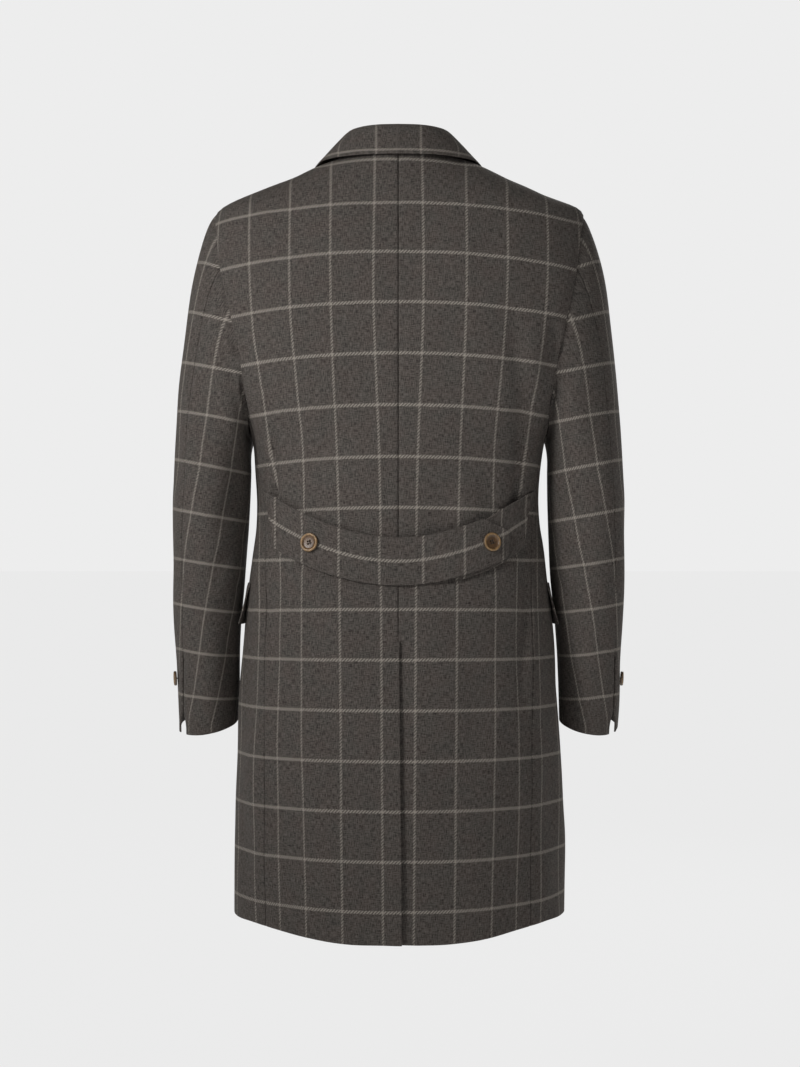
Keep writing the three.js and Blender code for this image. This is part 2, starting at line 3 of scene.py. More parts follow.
import bmesh
import bpy
import numpy as np
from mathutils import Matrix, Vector


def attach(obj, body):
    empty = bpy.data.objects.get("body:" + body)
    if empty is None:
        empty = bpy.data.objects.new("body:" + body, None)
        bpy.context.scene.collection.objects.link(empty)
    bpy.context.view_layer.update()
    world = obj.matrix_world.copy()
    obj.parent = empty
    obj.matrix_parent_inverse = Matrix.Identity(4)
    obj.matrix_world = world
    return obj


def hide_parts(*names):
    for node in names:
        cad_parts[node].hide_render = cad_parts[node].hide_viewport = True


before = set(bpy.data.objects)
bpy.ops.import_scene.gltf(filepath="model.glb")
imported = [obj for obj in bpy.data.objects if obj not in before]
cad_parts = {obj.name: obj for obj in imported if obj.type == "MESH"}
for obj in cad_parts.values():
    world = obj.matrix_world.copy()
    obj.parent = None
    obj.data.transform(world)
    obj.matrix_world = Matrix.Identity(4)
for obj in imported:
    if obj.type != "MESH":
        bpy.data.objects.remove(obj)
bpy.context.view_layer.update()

# A man's tailored overcoat in worn shape, with no wearer, seen from behind.
# Shapes are worked out in millimetres, in the frame's axes, and put into the meshes in metres.
# The coat's back faces +Y and its left side is +X.
millimetre = 0.001

# Camera
cameraView = {"distance": 2820, "aside": -1.9, "height": -476, "lens": 72.88, "sensor": 36.0}


def addCamera():
    data = bpy.data.cameras.new("camera")
    data.lens = cameraView["lens"]
    data.sensor_width = cameraView["sensor"]
    data.sensor_fit = "AUTO"
    data.clip_end = 50
    camera = bpy.data.objects.new("camera", data)
    place = (cameraView["aside"], cameraView["distance"], cameraView["height"])
    camera.location = [value * millimetre for value in place]
    camera.rotation_euler = (math.radians(90), 0, math.radians(180))
    bpy.context.scene.collection.objects.link(camera)
    bpy.context.scene.camera = camera


addCamera()

# The body's shape, from the same sections as the frame
wall = 2.0  # one cloth layer
lieGap = 0.6
halfSeam = -0.15  # sewn edges meet, so each runs this far past the seam
hemLevel = -981.0
seamTop = -305.0
armholeBottom = -352.0
shoulderTip = -61.5
neckLevel = 10.0
sideRise = 16.0
frontRise = 9.0
riseFrom = -560.0

# Half width, depth behind and before the side line, and squareness of each horizontal section.
sections = {
    "level": [-1000, -900, -800, -700, -640, -590, -540, -510, -470, -430, -384, -352, -326,
              -294, -251, -207, -176, -137, -90, -61.5, -53.8, -40.6, -27.5, -14.5, -1.4, 10],
    "half": [214.5, 214, 211.5, 207, 203.5, 199.5, 194, 190, 185, 183.5, 187, 192, 202,
             216, 230, 242, 248, 250, 247, 239.6, 232, 204, 172.5, 141, 110, 82],
    "back": [177, 173, 167, 159, 150, 141, 131, 125, 119, 119, 124, 129, 133,
             136, 138, 136, 132, 125, 113.5, 103, 101, 97, 92, 86.5, 80, 73],
    "front": [144, 142, 140, 137, 134, 131, 129, 128, 127, 128, 131, 133, 134,
              134, 131, 125, 118, 109, 96, 86, 83, 77, 70, 63, 55, 46],
    "power": [2.16, 2.16, 2.17, 2.18, 2.19, 2.2, 2.2, 2.2, 2.2, 2.22, 2.32, 2.48, 2.7,
              2.9, 2.9, 2.8, 2.7, 2.55, 2.33, 2.15, 2.1, 2.05, 2, 2, 2, 2],
}
# Where the armhole crosses each level, as distances from the middle.
armhole = {
    "level": [-352, -340, -326, -294, -251, -207, -176, -137, -90, -61.5],
    "behind": [192, 192.6, 192.8, 197, 203, 212, 220, 229, 234.5, 239.6],
    "before": [192, 189.5, 186.5, 185, 189, 197, 205, 218, 230, 239.6],
}
sideSeams = {
    "level": [-1000, -600, -470, -384, -305],
    "behind": [167, 170, 172, 181, 195.4],
    "before": [176, 165, 158, 166, 185.2],
}
# The line where the front turns back as a lapel.
rollLine = {
    "level": [-318, -250, -180, -110, -50, -27, -1.4, 10],
    "out": [-22, 2, 25, 46, 62, 67, 73, 74],
}


# A smooth curve through a table's column: a cubic between each two rows, with slopes from their neighbours.
def through(table, column, level):
    knots = np.array(table["level"], float)
    values = np.array(table[column], float)
    last = len(knots) - 1
    at = np.clip(level, knots[0], knots[-1])
    i = np.clip(np.searchsorted(knots, at, side="right") - 1, 0, last - 1)
    before, after = np.maximum(i - 1, 0), np.minimum(i + 2, last)
    gap = knots[i + 1] - knots[i]
    t = (at - knots[i]) / gap
    start = (values[i + 1] - values[before]) / (knots[i + 1] - knots[before]) * gap
    end = (values[after] - values[i]) / (knots[after] - knots[i]) * gap
    h = t * t * (3 - 2 * t)
    return values[i] + (values[i + 1] - values[i]) * h + start * t * (1 - t) ** 2 - end * t * t * (1 - t)


# Goes from 0 to 1 as the value goes from one end of a range to the other.
def smooth(start, stop, value):
    t = np.clip((value - start) / (stop - start), 0, 1)
    return t * t * (3 - 2 * t)


def mix(a, b, t):
    return a + (b - a) * t


# Each section is a squared ellipse: x = half * sin^(2/power), y = back or front * cos^(2/power).
# The rings hold it at even steps of running length from the centre back to the centre front.
ringStep = 2.0
ringCount = 384
ringLevels = np.arange(-1000, neckLevel + ringStep, ringStep)


def sectionRings():
    turn = np.linspace(0, math.pi, 1441)[None, :]
    columns = ("half", "back", "front", "power")
    half, back, front, power = (through(sections, c, ringLevels)[:, None] for c in columns)
    x = half * np.abs(np.sin(turn)) ** (2 / power)
    depth = np.abs(np.cos(turn)) ** (2 / power)
    y = np.where(turn <= math.pi / 2, back * depth, -front * depth)
    steps = np.hypot(np.diff(x, axis=1), np.diff(y, axis=1))
    runs = np.concatenate([np.zeros((len(x), 1)), np.cumsum(steps, axis=1)], axis=1)
    even = np.linspace(0, 1, ringCount + 1)
    ringX = np.array([np.interp(even * run[-1], run, row) for run, row in zip(runs, x)])
    ringY = np.array([np.interp(even * run[-1], run, row) for run, row in zip(runs, y)])
    return ringX, ringY, runs[:, -1], runs[:, 720]


ringX, ringY, ringGirth, ringRidge = sectionRings()


def girth(level):
    return np.interp(level, ringLevels, ringGirth)


def ridgeLength(level):
    return np.interp(level, ringLevels, ringRidge)


# The value of a ring table between its four nearest entries.
def between(table, row, column):
    i = np.clip(np.floor(row).astype(int), 0, table.shape[0] - 2)
    j = np.clip(np.floor(column).astype(int), 0, table.shape[1] - 2)
    a, b = row - i, column - j
    low = mix(table[i, j], table[i, j + 1], b)
    high = mix(table[i + 1, j], table[i + 1, j + 1], b)
    return mix(low, high, a)


# The body's outer surface at a level and a running length from the centre back. Lengths past
# either centre go on to the other side. Below the waist the level lines rise towards the sides.
def body(level, length):
    level, length = np.broadcast_arrays(np.clip(level, -1000, neckLevel), length)
    around = girth(level)
    past = length > around
    run = np.where(past, 2 * around - length, np.abs(length))
    side = np.where(past | (length < 0), -1.0, 1.0)
    part = run / around
    row = (level - ringLevels[0]) / ringStep
    x = between(ringX, row, part * ringCount) * side
    y = between(ringY, row, part * ringCount)
    rise = mix(sideRise * smooth(0.07, 0.38, part), frontRise, smooth(0.6, 1, part))
    return np.stack([x, y, level + rise * smooth(riseFrom, hemLevel, level)], axis=-1)


def unit(vectors):
    return vectors / np.maximum(np.linalg.norm(vectors, axis=-1, keepdims=True), 1e-9)


def bodyNormal(level, length):
    along = body(level, length + 3) - body(level, length - 3)
    up = body(level + 4, length) - body(level - 4, length)
    return unit(np.cross(up, along))


def lift(level, length, out):
    return body(level, length) + bodyNormal(level, length) * np.asarray(out)[..., None]


# The running length at which a level's section is a given distance from the middle.
def lengthAt(level, out, place):
    levels, outs = np.broadcast_arrays(np.atleast_1d(level).astype(float), out)
    lengths = []
    for one, distance in zip(levels.ravel(), outs.ravel()):
        row = (np.clip(one, -1000, neckLevel) - ringLevels[0]) / ringStep
        x = between(ringX, np.full(ringCount + 1, row), np.arange(ringCount + 1.0))
        runs = np.linspace(0, girth(one), ringCount + 1)
        widest = int(np.argmax(x))
        if place == "behind":
            run = np.interp(abs(distance), x[:widest + 1], runs[:widest + 1])
            lengths.append(run if distance >= 0 else -run)
        else:
            run = np.interp(abs(distance), x[widest:][::-1], runs[widest:][::-1])
            lengths.append(run if distance >= 0 else 2 * runs[-1] - run)
    return np.array(lengths).reshape(levels.shape)


def seamLength(level, column):
    level = np.asarray(level, float)
    table = [through(armhole, column, level), through(sideSeams, column, level)]
    out = np.where(level > seamTop, table[0], table[1])
    return np.where(level >= shoulderTip, ridgeLength(level), lengthAt(level, out, column))


def frontEdge(level):
    return lengthAt(level, through(rollLine, "out", level), "before")


# Meshes
clothMap = "cloth"  # places on the check, with a whole pane between two lines
weaveMap = "weave"  # plain distances along and across each piece


# Positions from 0 to a total, close together near both ends so that a rounded edge shows.
edgeSteps = np.array([0, 0.15, 0.5, 1.0, 2.2, 4.4])


def spread(total, count):
    total = np.atleast_1d(total).astype(float)[:, None]
    near = np.minimum(edgeSteps, total / 2 * edgeSteps / (edgeSteps[-1] + 0.5))
    inner = mix(near[:, -1:], total - near[:, -1:], np.linspace(0, 1, count + 1)[None, 1:-1])
    return np.concatenate([near, inner, total - near[:, ::-1]], axis=1)


def gridNormals(grid):
    up = np.empty_like(grid)
    along = np.empty_like(grid)
    up[1:-1] = grid[2:] - grid[:-2]
    up[0], up[-1] = grid[1] - grid[0], grid[-1] - grid[-2]
    along[:, 1:-1] = grid[:, 2:] - grid[:, :-2]
    along[:, 0], along[:, -1] = grid[:, 1] - grid[:, 0], grid[:, -1] - grid[:, -2]
    return unit(np.cross(up, along))


def gridFaces(index):
    return np.stack([index[:-1, :-1], index[1:, :-1], index[1:, 1:], index[:-1, 1:]], axis=-1).reshape(-1, 4)


def meshObject(name, points, faces, maps, look):
    mesh = bpy.data.meshes.new(name)
    mesh.vertices.add(len(points))
    mesh.vertices.foreach_set("co", (points * millimetre).astype(np.float32).ravel())
    mesh.loops.add(faces.size)
    mesh.loops.foreach_set("vertex_index", faces.astype(np.int32).ravel())
    mesh.polygons.add(len(faces))
    mesh.polygons.foreach_set("loop_start", np.arange(0, faces.size, faces.shape[1], dtype=np.int32))
    mesh.polygons.foreach_set("use_smooth", np.ones(len(faces), dtype=bool))
    mesh.update(calc_edges=True)
    for mapName, places in maps.items():
        layer = mesh.uv_layers.new(name=mapName)
        layer.data.foreach_set("uv", (places * millimetre)[faces.ravel()].astype(np.float32).ravel())
    mesh.validate()
    made = bpy.data.objects.new(name, mesh)
    bpy.context.scene.collection.objects.link(made)
    mesh.materials.append(look)
    return made


# A closed cloth wall under a grid of points, with rounded edges. Rows run up and columns to the left.
# Near an edge, at distance e, both faces move in by r - sqrt(r^2 - (r - e)^2), r being half the wall.
def clothWall(name, grid, cloth, look, side=1, thick=wall, weave=None):
    normals = gridNormals(grid)
    rowSteps = np.linalg.norm(np.diff(grid, axis=0), axis=-1)
    colSteps = np.linalg.norm(np.diff(grid, axis=1), axis=-1)
    rowRuns = np.concatenate([np.zeros((1, grid.shape[1])), np.cumsum(rowSteps, axis=0)])
    colRuns = np.concatenate([np.zeros((grid.shape[0], 1)), np.cumsum(colSteps, axis=1)], axis=1)
    toRowEnd = np.minimum(rowRuns, rowRuns[-1] - rowRuns)
    toColEnd = np.minimum(colRuns, colRuns[:, -1:] - colRuns)
    edge = np.minimum(toRowEnd, toColEnd)
    radius = thick / 2
    inset = radius - np.sqrt(np.maximum(radius ** 2 - np.maximum(radius - edge, 0) ** 2, 0))
    outer = grid - normals * inset[..., None]
    inner = grid - normals * (thick - inset)[..., None]
    rows, cols = edge.shape
    outerIndex = np.arange(rows * cols).reshape(rows, cols)
    innerIndex = outerIndex.copy()
    innerIndex[1:-1, 1:-1] = rows * cols + np.arange((rows - 2) * (cols - 2)).reshape(rows - 2, cols - 2)
    points = np.concatenate([outer.reshape(-1, 3), inner[1:-1, 1:-1].reshape(-1, 3)])
    maps = {clothMap: cloth, weaveMap: cloth if weave is None else weave}
    for mapName, places in maps.items():
        maps[mapName] = np.concatenate([places.reshape(-1, 2), places[1:-1, 1:-1].reshape(-1, 2)])
    faces = np.concatenate([gridFaces(outerIndex), gridFaces(innerIndex)[:, ::-1]])
    if side < 0:
        points = points * [-1, 1, 1]
        faces = faces[:, ::-1]
    return meshObject(name, points, faces, maps, look)


# The check, as places on the cloth
pane = {"across": 53.0, "along": 63.0}

# Distances from the middle of the first four upright lines behind, and how far on the fifth one lies.
uprights = {
    "level": [-981, -780, -560, -380, -186, -1],
    "first": [18.8, 20.2, 21.8, 24, 31, 30],
    "second": [68.5, 71.1, 73.2, 77.3, 84.5, 86],
    "third": [114.5, 119.8, 122, 120.3, 135.5, 138],
    "fourth": [148, 152, 149, 160.5, 186, 190],
    "onward": [43, 43, 41, 50, 53, 53],
}
# Heights of the level lines at the centre back, counted in panes, and how much they sag at 230 mm out.
levelLines = {
    "level": [-940.5, -756.8, -570.3, -379.7, -187.5, -59.1, -0.9],
    "count": [0, 3, 6, 9, 12, 14, 15],
}
lineSag = {"level": [-981, -940, -880, -818, -633, -570, -510, -444, -380, -187, 0],
           "sag": [-6, -5.5, -2, 0, 2.5, 5.8, 6, 13, 16.6, 18, 18]}
sagReach = 230.0


# Cloth height in mm: the pane count at this height, once the sag, which grows with the square of x, is added.
def clothHeight(points):
    x, z = points[..., 0], points[..., 2]
    sag = np.interp(z, lineSag["level"], lineSag["sag"])
    at = z + sag * (x / sagReach) ** 2
    knots, counts = levelLines["level"], levelLines["count"]
    beyond = np.minimum(at - knots[0], 0) + np.maximum(at - knots[-1], 0)
    return np.interp(at, knots, counts) * pane["along"] + beyond


# Cloth distance across in mm: each upright line's running length is a whole number of panes.
def clothAcross(level, length):
    rows = level[:, 0] if level.ndim > 1 else level
    columns = ("first", "second", "third", "fourth")
    marks = [lengthAt(rows, through(uprights, c, rows), "behind") for c in columns]
    marks.append(marks[-1] + through(uprights, "onward", rows))
    across = np.empty(length.shape)
    steps = np.arange(len(marks)) * pane["across"]
    for i, knots in enumerate(zip(*marks)):
        knots = np.array(knots)
        row = np.interp(length[i], knots, steps)
        row = np.where(length[i] < knots[0], length[i] - knots[0], row)
        across[i] = np.where(length[i] > knots[-1], steps[-1] + length[i] - knots[-1], row)
    return across


# How the cloth hangs
# Each fold runs between two places, given as distance round from the centre back and level.
# It is a soft trough with a lower ridge beside it: deep * (exp(-q^2) - 0.3 * exp(-(q - 1.8)^2)),
# where q is the distance from the fold's line, which wavers, over the fold's width.
bodyFolds = [
    dict(start=(178, -345), stop=(181, -446), wide=7, deep=4.5, sides=(1,)),
    dict(start=(167, -345), stop=(170, -446), wide=6, deep=-5.5, sides=(1,)),
    dict(start=(-150, -190), stop=(-162, -400), wide=14, deep=-4.0, sides=(-1,)),
    dict(start=(-160, -340), stop=(-164, -446), wide=7, deep=-6.5, sides=(-1,)),
    dict(start=(-128, -470), stop=(-100, -395), wide=12, deep=-1.3, sides=(-1,)),
    dict(start=(-172, -530), stop=(-170, -700), wide=10, deep=-4.8, sides=(-1,)),
    dict(start=(176, -535), stop=(170, -660), wide=11, deep=-3.0, sides=(1,)),
    dict(start=(206, -212), stop=(196, -262), wide=9, deep=-4.2, sides=(1, -1)),
    dict(start=(178, -290), stop=(120, -372), wide=16, deep=-1.4, sides=(1, -1)),
    dict(start=(60, -420), stop=(52, -486), wide=14, deep=-0.9, sides=(1, -1)),
    dict(start=(108, -560), stop=(98, -690), wide=20, deep=-1.5, sides=(1,)),
    dict(start=(-92, -600), stop=(-84, -800), wide=22, deep=-1.6, sides=(-1,)),
    dict(start=(150, -700), stop=(146, -975), wide=24, deep=-2.2, sides=(1, -1)),
    dict(start=(226, -640), stop=(232, -975), wide=28, deep=-3.0, sides=(1, -1)),
    dict(start=(262, -372), stop=(250, -470), wide=12, deep=-1.8, sides=(1, -1)),
    dict(start=(330, -620), stop=(342, -970), wide=26, deep=-2.4, sides=(1, -1)),
    dict(start=(346, -300), stop=(392, -420), wide=15, deep=-1.8, sides=(1, -1)),
    dict(start=(404, -455), stop=(440, -540), wide=13, deep=-1.3, sides=(1, -1)),
    dict(start=(300, -420), stop=(318, -520), wide=12, deep=-1.5, sides=(1, -1)),
]
# Long shallow waves in the cloth: how far apart across and along, how high, and where each starts.
waves = {
    "across": [170, 118, 83, 61, 210, 47],
    "along": [420, -260, 190, -330, 140, 97],
    "high": [0.7, 0.5, 0.4, 0.28, 0.45, 0.16],
    "phase": [0.4, 2.1, 4.4, 1.3, 5.6, 3.2],
}


def trough(across, level, fold):
    start, stop = np.array(fold["start"], float), np.array(fold["stop"], float)
    way = stop - start
    reach = np.linalg.norm(way)
    way = way / reach
    run = ((across - start[0]) * way[0] + (level - start[1]) * way[1]) / reach
    off = (across - start[0]) * way[1] - (level - start[1]) * way[0]
    off = off + 0.3 * fold["wide"] * np.sin(5.2 * run + start[0])
    q = off / (fold["wide"] * (0.85 + 0.3 * np.clip(run, 0, 1)))
    fade = smooth(-0.22, 0.3, run) * smooth(1.22, 0.7, run) * (1 + 0.2 * np.sin(9 * run + start[1]))
    return fold["deep"] * fade * (np.exp(-q ** 2) - 0.3 * np.exp(-(q - 1.8) ** 2))


def unevenness(across, level):
    total = np.zeros(np.broadcast(across, level).shape)
    for a, b, high, phase in zip(waves["across"], waves["along"], waves["high"], waves["phase"]):
        total = total + high * np.sin(2 * math.pi * (across / a + level / b) + phase)
    return total


belt = {"width": 60.0, "middle": -511.0, "sag": 0.002, "seamOut": 166.0, "shortEnd": -66.0, "drop": 4.0}
beltEnd = {"level": [-1, 0, 1], "tip": [-124, -138, -116], "seam": [146.7, 165.3, 181.1]}


# The belt draws the back in along its edges, and the skirt hangs in soft flutes towards its hem.
drawnIn = {"deep": 2.4, "reach": 2.4, "past": 0.8, "fades": (186, 172)}
flutes = {"deep": 1.5, "pitch": 31.0, "phase": 0.9, "back": (60, 150), "front": 90, "level": (-620, -960)}
unevenShare = 0.8


# How far the cloth stands off the plain shape: its folds, its unevenness and the skirt's soft flutes.
def drape(level, length, side):
    across = length * side
    out = unevenShare * unevenness(across, level)
    for fold in bodyFolds:
        for foldSide in fold["sides"]:
            if foldSide == side:
                own = dict(fold, start=(abs(fold["start"][0]) * side, fold["start"][1]),
                           stop=(abs(fold["stop"][0]) * side, fold["stop"][1]))
                out = out + trough(across, level, own)
    x = body(level, length)[..., 0]
    fromBelt = np.abs(level - belt["middle"] - belt["sag"] * x * x) / np.hypot(1, 2 * belt["sag"] * x)
    past = (fromBelt - belt["width"] / 2 - drawnIn["past"]) / drawnIn["reach"]
    out = out - drawnIn["deep"] * np.exp(-past ** 2) * smooth(*drawnIn["fades"], length)
    wave = np.sin(length / flutes["pitch"] + flutes["phase"] * side)
    wave = wave * smooth(*flutes["back"], length)
    wave = wave * smooth(girth(level), girth(level) - flutes["front"], length)
    return out + flutes["deep"] * wave * smooth(*flutes["level"], level)


# The cloth sinks towards a seam by soft * exp(-(distance / softWidth)^2), and by a narrow groove on top.
seam = {"soft": 0.45, "softWidth": 6.0, "groove": 1.1, "grooveWidth": 0.9}


def seamDip(distance, share=1.0):
    soft = seam["soft"] * np.exp(-(distance / seam["softWidth"]) ** 2)
    return -share * (soft + seam["groove"] * np.exp(-(distance / seam["grooveWidth"]) ** 2))


# The body's panels
panelStep = 4.6


def bodyRows(bottom, top):
    return spread(top - bottom, int((top - bottom) / panelStep))[0] + bottom


def colsBetween(start, stop):
    return spread(stop - start, max(8, int(np.median(stop - start) / panelStep))) + start[:, None]


vent = {"top": -609.0, "lap": 3.0, "under": 34.0, "dip": 4.4, "dipWide": (2, 26), "rise": 2.8,
        "riseLong": 170, "riseWide": 16, "seamShare": 1.3, "edge": -1.2}


# A back panel runs from the centre back to the side seam, the armhole or the shoulder seam. Below the
# vent's top the left one laps over by a little, and the right one dips and runs on under it.
def backPanel(name, side, look):
    levels = bodyRows(hemLevel, neckLevel)
    laps = side > 0
    opening = smooth(vent["top"] + 6, vent["top"] - 10, levels)
    lapping = vent["lap"] * smooth(vent["top"] + 10, hemLevel, levels)
    start = mix(halfSeam, vent["edge"] - lapping if laps else -vent["under"], opening)
    length = colsBetween(start, seamLength(levels, "behind") - halfSeam)
    level = np.broadcast_to(levels[:, None], length.shape)
    out = drape(level, length, side) * smooth(-2, 14, length)
    atTip = np.exp(-((level - shoulderTip) / 28) ** 2)
    out = out + seamDip(length[:, -1:] - length, 1 - atTip) * smooth(-1, 6, neckLevel - level)
    out = out + seamDip(length, vent["seamShare"]) * smooth(vent["top"] - 16, vent["top"], level)
    edgeLift = np.exp(-((length + vent["lap"]) / vent["riseWide"]) ** 2)
    edgeLift = edgeLift * smooth(vent["top"], vent["top"] - vent["riseLong"], level)
    if laps:
        out = out + vent["rise"] * edgeLift
    else:
        dips = smooth(vent["top"] + 2, vent["top"] - 3, level)
        out = out - vent["dip"] * (1 - smooth(*vent["dipWide"], length)) * dips
    grid = lift(level, length, out)
    plain = body(level, length)
    cloth = np.stack([side * clothAcross(level, length), clothHeight(plain)], axis=-1)
    return clothWall(name, grid, cloth, look, side, weave=np.stack([side * length, level], axis=-1))


# The armhole's lower part is the side panel's top edge: level = bottom + (seamTop - bottom) * cos(turn)^2.
def armholeFloor(share):
    turn = math.pi * np.asarray(share, float)
    level = armholeBottom + (seamTop - armholeBottom) * np.cos(turn) ** 2
    behind = lengthAt(level, through(armhole, "behind", level), "behind")
    before = lengthAt(level, through(armhole, "before", level), "before")
    near = np.clip((0.5 - share) / 0.04, 0, 1)
    fore = np.clip((share - 0.5) / 0.04, 0, 1)
    ridge = ridgeLength(level)
    length = np.where(share <= 0.5, mix(ridge, behind, near), mix(ridge, before, fore))
    return level, length


# Steps across and up a side panel, and the part of its width that its top edge follows the armhole over.
sideMesh = {"cols": 46, "rows": 146, "inside": (0.006, 0.994)}

# Side seam lengths at fine levels, for rows that aren't level.
levelsFine = np.arange(-1000.0, seamTop + 1, 5.0)
behindFine = lengthAt(levelsFine, through(sideSeams, "behind", levelsFine), "behind")
beforeFine = lengthAt(levelsFine, through(sideSeams, "before", levelsFine), "before")
fourthFine = lengthAt(levelsFine, through(uprights, "fourth", levelsFine), "behind")
onwardFine = through(uprights, "onward", levelsFine)


# A side panel runs from seam to seam, and its rows rise to the armhole's lower part:
# level = hem + (top - hem) * share of the way up, the top being the armhole floor above each column.
def sidePanel(name, side, look):
    floorShare = np.linspace(0, 1, 60)
    topLevel, topLength = armholeFloor(floorShare)
    fromLength, toLength = seamLength(topLevel, "behind"), seamLength(topLevel, "before")
    share = np.clip((topLength - fromLength) / (toLength - fromLength), 0, 1)
    share = np.maximum.accumulate(share)
    width = float(np.median(toLength - fromLength))
    columnShare = spread(width, sideMesh["cols"])[0] / width
    low, high = sideMesh["inside"]
    columnTop = np.interp(np.clip(columnShare, low, high), share, topLevel)
    rows = spread(seamTop - hemLevel, sideMesh["rows"])[0] / (seamTop - hemLevel)
    level = hemLevel + (columnTop[None, :] - hemLevel) * rows[:, None]
    left = np.array([np.interp(one, levelsFine, behindFine) for one in level]) + halfSeam
    right = np.array([np.interp(one, levelsFine, beforeFine) for one in level]) - halfSeam
    length = left + (right - left) * columnShare[None, :]
    out = drape(level, length, side)
    out = out + seamDip(length - left) + seamDip(right - length)
    grid = lift(level, length, out)
    across = np.array([clothAcrossAt(one, run) for one, run in zip(level, length)])
    cloth = np.stack([side * across, clothHeight(body(level, length))], axis=-1)
    return clothWall(name, grid, cloth, look, side, weave=np.stack([side * length, level], axis=-1))


# Cloth distance across on the side panels: whole panes at the fourth and fifth upright lines.
def clothAcrossAt(level, length):
    fourth = np.interp(level, levelsFine, fourthFine)
    onward = np.interp(level, levelsFine, onwardFine)
    past = length - fourth
    panes = 3 + np.where(past < onward, past / onward, 1 + (past - onward) / pane["across"])
    return panes * pane["across"]


front = {"dip": 3.4, "lapelDip": 4.0, "panelDip": 1.2, "firstLine": 30.0}


# The right front dips where the left one laps over it, and more where a lapel lies on it.
def underLap(level, length, further=0.0):
    depth = front["dip"] + (front["lapelDip"] + further) * smooth(-345, -318, level)
    return depth * smooth(-80, -26, length - girth(level))


# A front runs from the side seam and the armhole to its edge. Its upright lines run with that edge, so the
# cloth distance is firstLine - (girth - length).
def frontPanel(name, side, look):
    levels = bodyRows(hemLevel, neckLevel)
    length = colsBetween(seamLength(levels, "before") + halfSeam, frontEdge(levels))
    level = np.broadcast_to(levels[:, None], length.shape)
    settled = smooth(0, 40, length[:, -1:] - length)
    out = drape(level, length, side) * settled
    out = out + seamDip(length - length[:, :1])
    if side < 0:
        out = out - underLap(level, length, front["panelDip"])
    grid = lift(level, length, out)
    across = front["firstLine"] - (girth(level) - length)
    cloth = np.stack([side * across, clothHeight(body(level, length))], axis=-1)
    return clothWall(name, grid, cloth, look, side)


# Lapels
lapel = {"foot": -314.0, "gorgeTop": -50.0, "slope": 0.42, "swell": 1.2, "roll": 4.8}
lapelWidths = {"level": [-314, -285, -240, -190, -130, -80, -50], "wide": [4, 34, 60, 80, 94, 101, 104]}


# A lapel lies on its front from its outer edge to the roll line, and there turns round the front's edge
# in an arc: length = edge + r * cos(a), out = r * sin(a) - 1.
def lapelPiece(name, side, look):
    climb = spread(1.0 * (lapel["gorgeTop"] - lapel["foot"]), 56)[0] / (lapel["gorgeTop"] - lapel["foot"])
    root = mix(lapel["foot"], lapel["gorgeTop"], climb)[:, None]
    wide = through(lapelWidths, "wide", root)
    flat = spread(wide[:, 0], 26)[:, :-len(edgeSteps)]
    arc = np.radians(np.linspace(90, -35, 12))[None, :]
    far = np.concatenate([wide - flat, -lapel["roll"] * np.cos(arc) * np.ones_like(root)], axis=1)
    level = root - lapel["slope"] * climb[:, None] ** 2 * np.maximum(far, 0)
    length = girth(level) - (girth(root) - frontEdge(root[:, 0])[:, None] + far)
    share = 1 - np.clip(far / wide, 0, 1)
    lying = wall + lieGap + lapel["swell"] * share ** 2
    top = wall + lieGap + lapel["swell"]
    turned = top - lapel["roll"] + lapel["roll"] * np.sin(arc) * np.ones_like(root)
    out = np.concatenate([lying[:, :flat.shape[1]], turned], axis=1)
    out = out + 0.5 * np.sin(level / 37 + 2 * side) * np.sin(math.pi * share)
    if side < 0:
        out = out - underLap(level, length)
    grid = lift(level, length, out)
    cloth = np.stack([side * (far + 11) * np.ones_like(level), level], axis=-1)
    return clothWall(name, grid, cloth, look, side)


# Collar: where its seam, fold and outer edge run, from the centre back to its front end
collarLine = {
    "level": [0, 1, 2, 3, 4, 5, 6, 7, 8],
    "seamX": [0, 32.5, 57, 74.5, 80, 75.5, 70.5, 65, 59.5],
    "seamY": [71.8, 66.3, 50.8, 27.5, 0, -14, -37, -60, -76],
    "seamZ": [10.5, 10.5, 10.5, 10.8, 11.2, 11.6, 3.5, -23, -48],
    "foldX": [0, 25, 45.5, 59, 63, 65.5, 66, 62, 58.5],
    "foldY": [57, 53.5, 41.5, 23, 0, -16, -42, -66, -84],
    "foldZ": [47, 47, 46.5, 45, 41, 33, 18, -12, -45],
    "edgeX": [0, 41, 77, 98, 106.5, 110.5, 114, 110, 101],
    "edgeY": [82, 75.5, 57, 31, 0, -21, -47, -72, -86],
    "edgeZ": [6, 6, 5.5, 5.5, 4.5, 1, -13, -39, -64],
}
collarShape = {"turn": 2.6, "drop": 4.0, "swell": 0.8, "lineAboveEdge": 6.5, "firstLine": 28.6,
               "thick": 1.9, "tuck": 3.0}


